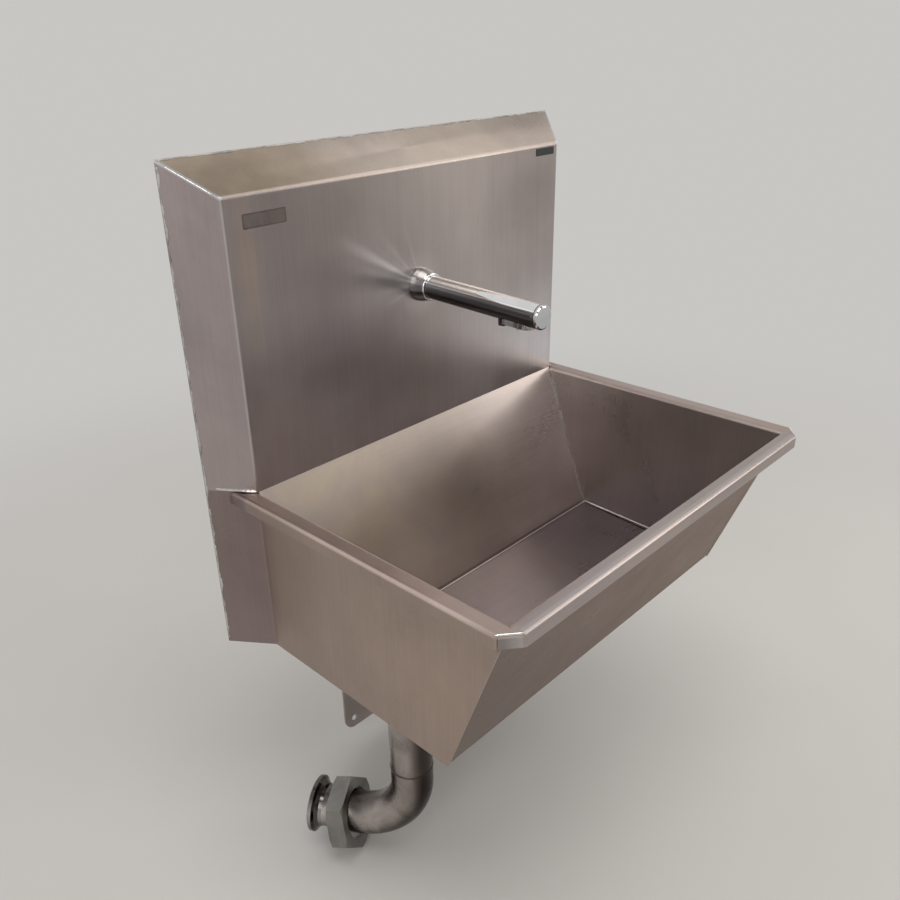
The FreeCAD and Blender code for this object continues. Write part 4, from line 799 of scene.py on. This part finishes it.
FINISHES = {
    # Sheet metal.
    "splash_box": splash_steel, "bowl_trough": trough_steel,
    "bowl_side_left": side_steel, "bowl_side_right": side_steel,
    "rim_corner_left": corner_steel, "rim_corner_right": corner_steel,
    "lower_wall_plate": plate_steel, "wall_hanger": plate_steel, "hanging_tongue": plate_steel,
    # Waste.
    "waste_flange": strainer_steel, "waste_strainer": strainer_steel,
    "waste_tail_tube": tube_steel, "waste_elbow": elbow_steel,
    "union_liner": liner_steel, "union_nut": nut_steel,
    # Spout.
    "spout_collar": collar_chrome, "spout_tube": tube_chrome, "spout_end_cap": cap_chrome,
    "sensor_housing": housing_chrome, "sensor_window": sensor_glass, "aerator": aerator_chrome,
    "spout_water_tube": pale_plastic, "spout_shank": brass, "shank_washer": rubber,
    "shank_backnut": brass,
    # Water supply.
    "supply_elbow": brass, "upper_compression_nut": brass, "supply_tube": chrome,
    "pipe_clip": pale_plastic, "lower_compression_nut": brass, "solenoid_body": brass,
    "solenoid_coil": black_plastic, "solenoid_core": strainer_steel, "solenoid_seat": rubber,
    "isolating_valve": brass, "isolating_ball": chrome, "isolating_lever": black_plastic,
    "inlet_filter": pale_plastic,
    # Sensor's control box.
    "control_box": pale_plastic, "control_box_lid": pale_plastic, "cable_gland": black_plastic,
    "battery_pack": black_plastic, "circuit_board": board_green,
}
for node_name, finish in FINISHES.items():
    mesh = NODES[node_name].data
    mesh.materials.clear()
    mesh.materials.append(finish)

# ------------------------------------------------- helpers for new pieces


def piece(name, mesh, finish, body="sink_body", smooth=True):
    made = bpy.data.objects.new(name, mesh)
    bpy.context.scene.collection.objects.link(made)
    mesh.materials.clear()
    mesh.materials.append(finish)
    for face in mesh.polygons:
        face.use_smooth = smooth
    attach(made, body)
    return made


def mesh_of(name, work):
    bmesh.ops.recalc_face_normals(work, faces=work.faces)
    mesh = bpy.data.meshes.new(name)
    work.to_mesh(mesh)
    work.free()
    return mesh


def skin_rows(name, work, rows, closed=False):
    """Mesh of the skin over rows of vertices, each row one outline; its ends are capped or meet."""
    pairs = list(zip(rows, rows[1:])) + ([(rows[-1], rows[0])] if closed else [])
    for first, second in pairs:
        for turn in range(len(first)):
            follow = (turn + 1) % len(first)
            work.faces.new((first[turn], first[follow], second[follow], second[turn]))
    if not closed:
        work.faces.new(rows[0])
        work.faces.new(rows[-1])
    return mesh_of(name, work)


BEAD_SIDES = 8
ROWS_PER_RIPPLE = 4
RIPPLE_SHARE = 0.10
UNEVEN_SHARE = 0.08
UNEVEN_SCALE = 400.0
TAPER_FROM = 0.35
TAPER_RATE = 6.0


def weld_bead(name, path, width, height, outward, ripple, finish,
              closed=False):
    """A laid weld: a low crowned strip of ripples that follows path, half sunk in the metal.

    outward is the way the weld faces, or a function that gives it for a point of the path.
    """
    points = [Vector(p) for p in path]
    ends = points + ([points[0]] if closed else [])
    lengths = [0.0]
    for first, second in zip(ends, ends[1:]):
        lengths.append(lengths[-1] + (second - first).length)
    total = lengths[-1]
    steps = max(8, int(total / (ripple / ROWS_PER_RIPPLE)))
    work = bmesh.new()
    rows = []
    for index in range(steps if closed else steps + 1):
        along = total * index / steps
        leg = max(i for i in range(len(lengths)) if lengths[i] <= along + 1e-12)
        leg = min(leg, len(ends) - 2)
        run = ends[leg + 1] - ends[leg]
        centre = ends[leg] + run * ((along - lengths[leg]) / run.length)
        up = (outward(centre) if callable(outward) else Vector(outward)).normalized()
        side = run.normalized().cross(up).normalized()
        wave = (1.0 + RIPPLE_SHARE * abs(math.sin(math.pi * along / ripple))
                + UNEVEN_SHARE * noise.noise(centre * UNEVEN_SCALE))
        from_end = min(index, steps - index) / steps
        size = wave if closed else wave * min(1.0, TAPER_FROM + TAPER_RATE * from_end)
        row = []
        for turn in range(BEAD_SIDES):
            angle = 2.0 * math.pi * turn / BEAD_SIDES
            row.append(work.verts.new(centre + side * (math.cos(angle) * width * 0.5 * size)
                                      + up * (math.sin(angle) * height * size)))
        rows.append(row)
    return piece(name, skin_rows(name, work, rows, closed), finish)


def thin_plate(name, box, thick, round_by, finish):
    """A bare plate flat on the front panel, with rounded corners and a softened edge."""
    (left, right), (low, high) = box
    corners = ((right - round_by, high - round_by), (left + round_by, high - round_by),
               (left + round_by, low + round_by), (right - round_by, low + round_by))
    outline = []
    for quarter, (x, z) in enumerate(corners):
        for step in range(5):
            angle = math.radians(90 * quarter + 22.5 * step)
            outline.append((x + round_by * math.cos(angle), z + round_by * math.sin(angle)))
    middle = Vector(((left + right) / 2, (low + high) / 2))
    work = bmesh.new()
    rows = []
    for inset, forward in ((0.0, 0.0), (0.0, thick * 0.6), (thick * 0.7, thick)):
        row = []
        for x, z in outline:
            pull = (middle - Vector((x, z))).normalized() * inset
            row.append(work.verts.new((x + pull.x, -BOX_DEPTH - forward, z + pull.y)))
        rows.append(row)
    return piece(name, skin_rows(name, work, rows), finish, smooth=False)


SEALANT_STEP = 0.0022


def sealant_strip(name, start, end, sheet, seed):
    """An uneven bead of old sealant in the angle between the sheet's splayed face and the wall."""
    start = Vector(start)
    run = Vector(end) - start
    steps = int(run.length / SEALANT_STEP)
    forward = Vector((0.0, -1.0, 0.0))
    work = bmesh.new()
    rows = []
    for index in range(steps + 1):
        centre = start + run * index / steps
        broad = noise.noise(Vector((index * 0.17, seed, 0.0)))
        small = noise.noise(Vector((index * 0.71, seed, 4.0)))
        size = SEALANT_WIDTH * min(1.0, max(0.22, 0.60 + 0.85 * (broad + 0.6 * small)))
        front = forward * size * 0.72
        foot = Vector(sheet).normalized() * size * 1.25
        rows.append([work.verts.new(centre), work.verts.new(centre + front),
                     work.verts.new(centre + (front + foot) * 0.56), work.verts.new(centre + foot)])
    return piece(name, skin_rows(name, work, rows), sealant)


def turned_ring(name, at, profile, steps, finish):
    """Ring around the drooping spout; profile holds pairs of distance from the panel and radius."""
    out = Vector((0.0, -math.cos(SPOUT_DROOP), -math.sin(SPOUT_DROOP)))
    side = Vector((1.0, 0.0, 0.0))
    top = side.cross(out)
    root = Vector((0.0, -BOX_DEPTH, TAP_Z))
    work = bmesh.new()
    rows = []
    for index in range(steps):
        angle = 2.0 * math.pi * index / steps
        ray = side * math.cos(angle) + top * math.sin(angle)
        rows.append([work.verts.new(root + out * (at + along) + ray * radius)
                     for along, radius in profile])
    return piece(name, skin_rows(name, work, rows, closed=True), finish)


def ring_path(centre, radius, steps=40):
    return [Vector(centre) + Vector((math.cos(t), math.sin(t), 0.0)) * radius
            for t in (2.0 * math.pi * i / steps for i in range(steps))]


def at_hand(sign, point):
    """A place or direction at the right hand, mirrored to the left where sign is -1."""
    return Vector((sign * point[0], *point[1:]))


# ------------------------------------------------- new pieces

PLATE_THICK, PLATE_ROUND = 0.00018, 0.0008
LABEL_THICK, LABEL_ROUND = 0.00035, 0.0006
thin_plate("etched_plate", PLATE_BOX, PLATE_THICK, PLATE_ROUND, etched)
thin_plate("small_dark_label", LABEL_BOX, LABEL_THICK, LABEL_ROUND, label_black)

SPLAY = HALF_AT_WALL - HALF_AT_FRONT
TOP_SEAM_OUT = Vector((0.6, -0.35, 0.75))
TOP_SEAM_SINK = 0.0009
TOP_SEAM_SHARES = (0.05, 0.93)
top_seam_start = Vector((HALF_AT_FRONT, -BOX_DEPTH, BOX_TOP_AT_FRONT))
top_seam_run = Vector((SPLAY, BOX_DEPTH, BOX_TOP_AT_WALL - BOX_TOP_AT_FRONT))

# Weld beads at the right hand: path, width, height, outward direction, ripple length and finish.
BEADS = {
    "top_seam_weld_": (
        [top_seam_start + top_seam_run * share - TOP_SEAM_OUT * TOP_SEAM_SINK
         for share in TOP_SEAM_SHARES],
        0.0017, 0.0007, TOP_SEAM_OUT, 0.0024, weld_metal),
    "rim_end_weld_": (
        [(0.2146, -0.0066, RIM_Z + 0.0016), (0.2090, -0.0152, RIM_Z + 0.0018),
         (0.2020, -0.0262, RIM_Z + 0.0016), (0.1946, -0.0362, RIM_Z + 0.0010)],
        0.0026, 0.0012, (0.45, -0.35, 0.82), 0.0050, weld_metal),
    "bowl_corner_weld_": (
        [(BEAD_X, BACK_TOP_Y + 0.0003, SEAM_TOP_Z), (BEAD_X, BACK_FOLD_Y + 0.0007, BACK_FOLD_Z)],
        0.0016, 0.0006, (-0.7, -0.65, 0.25), 0.0018, bowl_weld),
    "bowl_floor_weld_": (
        [(BEAD_X, BACK_FOLD_Y - 0.0013, BACK_FOLD_Z - 0.0002),
         (BEAD_X, FRONT_FOLD_Y + 0.0025, FRONT_FOLD_Z)],
        0.0016, 0.0006, (-0.7, 0.0, 0.7), 0.0018, bowl_weld),
    "rim_corner_weld_": (
        [(RIM_HALF - 0.0007, -0.2994, RIM_Z - 0.0003),
         (0.1924, RIM_FRONT_Y + 0.0010, RIM_Z - 0.0003)],
        0.0017, 0.0009, (0.45, -0.56, 0.70), 0.0030, corner_weld),
}
for hand, sign in (("left", -1), ("right", 1)):
    for name, (path, width, height, outward, ripple, finish) in BEADS.items():
        weld_bead(name + hand, [at_hand(sign, point) for point in path], width, height,
                  at_hand(sign, outward), ripple, finish)

elbow_top = Vector((WASTE_X, WASTE_Y, ELBOW_TOP_Z))
weld_bead("tail_tube_weld", ring_path(elbow_top, WASTE_R), 0.0022, 0.0004, lambda p: p - elbow_top,
          0.0022, tinted_weld, closed=True)

# Distance from the collar's end and radius.
COLLAR_RING = [(-0.0008, 0.0104), (-0.0008, 0.0120), (0.0002, 0.0121), (0.0006, 0.0116),
               (0.0007, 0.0109), (0.0004, 0.0104)]
turned_ring("collar_bright_ring", COLLAR_END, COLLAR_RING, 64, ring_chrome)

SEALANT_HALF = 0.2190
SEALANT_LOW, SEALANT_HIGH = 0.004, 0.406
wall_gap = 0.0001
top_z = BOX_TOP_AT_WALL - wall_gap
side_x = HALF_AT_WALL - wall_gap
sealant_strip("sealant_top", (-SEALANT_HALF, -wall_gap, top_z), (SEALANT_HALF, -wall_gap, top_z),
              (0.0, -BOX_DEPTH, BOX_TOP_AT_FRONT - BOX_TOP_AT_WALL), 3.0)
sealant_strip("sealant_left", (-side_x, -wall_gap, SEALANT_LOW), (-side_x, -wall_gap, SEALANT_HIGH),
              (SPLAY, -BOX_DEPTH, 0.0), 8.0)
sealant_strip("sealant_right", (side_x, -wall_gap, SEALANT_HIGH), (side_x, -wall_gap, SEALANT_LOW),
              (-SPLAY, -BOX_DEPTH, 0.0), 15.0)

# ------------------------------------------------- stage and light

PAPER = (0.578, 0.566, 0.548)
OVERHEAD = (0.30, 0.295, 0.29)
PALE_WALL = (0.74, 0.735, 0.725)
FLOOR_PAINT = ((0.60, 0.588, 0.568), (0.625, 0.612, 0.594))
FLOOR_CENTRE_Y = -0.15
FLOOR_GAP = 0.0006
FLOOR_RADII = (0.5, 1.0, 2.0, 4.0, 12.0, 40.0)
FLOOR_SIDES = 48
FLOOR_FADE = (0.55, 1.5)

# Heights and depths of the view's direction between which the world changes.
OVERHEAD_RISE = (0.0, 0.8)
WALL_AWAY = (0.10, 0.45)
WALL_RISE = (0.04, 0.26)


def make_floor():
    """Painted floor just below the sink that fades into the paper's tone."""
    floor_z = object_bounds()[0].z - FLOOR_GAP
    turns = [2.0 * math.pi * index / FLOOR_SIDES for index in range(FLOOR_SIDES)]
    work = bmesh.new()
    middle = work.verts.new((0.0, FLOOR_CENTRE_Y, floor_z))
    rings = [[work.verts.new((radius * math.cos(t), FLOOR_CENTRE_Y + radius * math.sin(t), floor_z))
              for t in turns] for radius in FLOOR_RADII]
    for index in range(FLOOR_SIDES):
        follow = (index + 1) % FLOOR_SIDES
        work.faces.new((middle, rings[0][index], rings[0][follow]))
        for inner, outer in zip(rings, rings[1:]):
            work.faces.new((inner[index], outer[index], outer[follow], inner[follow]))
    mesh = mesh_of("studio_floor", work)
    made = bpy.data.objects.new("studio_floor", mesh)
    bpy.context.scene.collection.objects.link(made)
    s = Shader("pale_floor_paint")
    s.done(s.mix(s.remap(s.noise(3.0, detail=3.0), 0.3, 0.7), *FLOOR_PAINT), 0.75)
    across, along = s.axis("x"), s.math("SUBTRACT", s.axis("y"), FLOOR_CENTRE_Y)
    away = s.math("SQRT", s.math("ADD", s.times(across, across), s.times(along, along)))
    glow = s.node("ShaderNodeEmission")
    glow.inputs["Color"].default_value = (*PAPER, 1.0)
    blend = s.node("ShaderNodeMixShader")
    s.feed(blend.inputs[0], s.ramp(away, *FLOOR_FADE))
    s.feed(blend.inputs[1], s.surface.outputs[0])
    s.feed(blend.inputs[2], glow.outputs[0])
    s.feed(s.tree.nodes["Material Output"].inputs["Surface"], blend.outputs[0])
    mesh.materials.append(s.material)


def make_world():
    """Paper at the horizon, darker overhead, with a pale wall high behind the sink."""
    world = bpy.data.worlds.new("soft_studio")
    bpy.context.scene.world = world
    world.use_nodes = True
    g = Graph(world.node_tree, "Generated")
    sky = g.mix(g.ramp(g.axis("z"), *OVERHEAD_RISE), PAPER, OVERHEAD)
    on_wall = g.times(g.ramp(g.axis("y"), *WALL_AWAY), g.ramp(g.axis("z"), *WALL_RISE))
    lit = g.tree.nodes["Background"]
    lit.inputs["Strength"].default_value = 1.0
    g.feed(lit.inputs["Color"], g.mix(on_wall, sky, PALE_WALL))
    g.feed(g.tree.nodes["World Output"].inputs["Surface"], lit.outputs[0])


def soft_light(name, place, target, width, height, watts, colour):
    lamp = bpy.data.lights.new(name, "AREA")
    lamp.shape = "RECTANGLE"
    lamp.size = width
    lamp.size_y = height
    lamp.energy = watts
    lamp.color = colour
    made = bpy.data.objects.new(name, lamp)
    bpy.context.scene.collection.objects.link(made)
    made.location = place
    made.rotation_euler = (Vector(target) - Vector(place)).to_track_quat("-Z", "Y").to_euler()


make_floor()
make_world()
DAYLIGHT = (1.0, 0.98, 0.95)
soft_light("high_right_panel", (1.45, -0.55, 1.85), (0.0, -0.05, 0.35), 1.3, 1.3, 5.0,
           (1.0, 0.95, 0.89))
soft_light("ceiling_panel", (-0.3, -0.7, 2.3), (0.0, -0.1, 0.1), 1.6, 1.2, 22.0, DAYLIGHT)
soft_light("left_front_panel", (-1.9, -1.1, 1.3), (0.0, -0.1, 0.15), 1.0, 1.4, 12.0, DAYLIGHT)
soft_light("right_front_panel", (1.6, -1.5, 1.0), (0.0, -0.1, 0.15), 0.7, 1.2, 7.0,
           (1.0, 0.93, 0.85))

# ------------------------------------------------- camera, fitted to the photograph

YAW, PITCH, ROLL = 0.7939, -0.45206, -0.02618
EYE = Vector((-0.540779, -0.582495, 0.487480))
PHOTO_PIXELS = 900.0
FOCAL_PIXELS = 879.042
AXIS_PIXEL = (437.295, 455.971)
SENSOR_WIDTH = 36.0

forward = Vector((math.sin(YAW) * math.cos(PITCH), math.cos(YAW) * math.cos(PITCH),
                  math.sin(PITCH)))
level = Vector((math.cos(YAW), -math.sin(YAW), 0.0))
upright = level.cross(forward)
across = level * math.cos(ROLL) + upright * math.sin(ROLL)
upward = upright * math.cos(ROLL) - level * math.sin(ROLL)
camera_data = bpy.data.cameras.new("photo_view")
camera_data.sensor_width = SENSOR_WIDTH
camera_data.lens = FOCAL_PIXELS / PHOTO_PIXELS * SENSOR_WIDTH
camera_data.shift_x = (PHOTO_PIXELS / 2 - AXIS_PIXEL[0]) / PHOTO_PIXELS
camera_data.shift_y = (AXIS_PIXEL[1] - PHOTO_PIXELS / 2) / PHOTO_PIXELS
camera_data.clip_start = 0.02
camera = bpy.data.objects.new("photo_view", camera_data)
bpy.context.scene.collection.objects.link(camera)
turned = Matrix((across, upward, -forward)).transposed().to_4x4()
camera.matrix_world = Matrix.Translation(EYE) @ turned
bpy.context.scene.camera = camera
bpy.context.scene.view_settings.view_transform = "Standard"
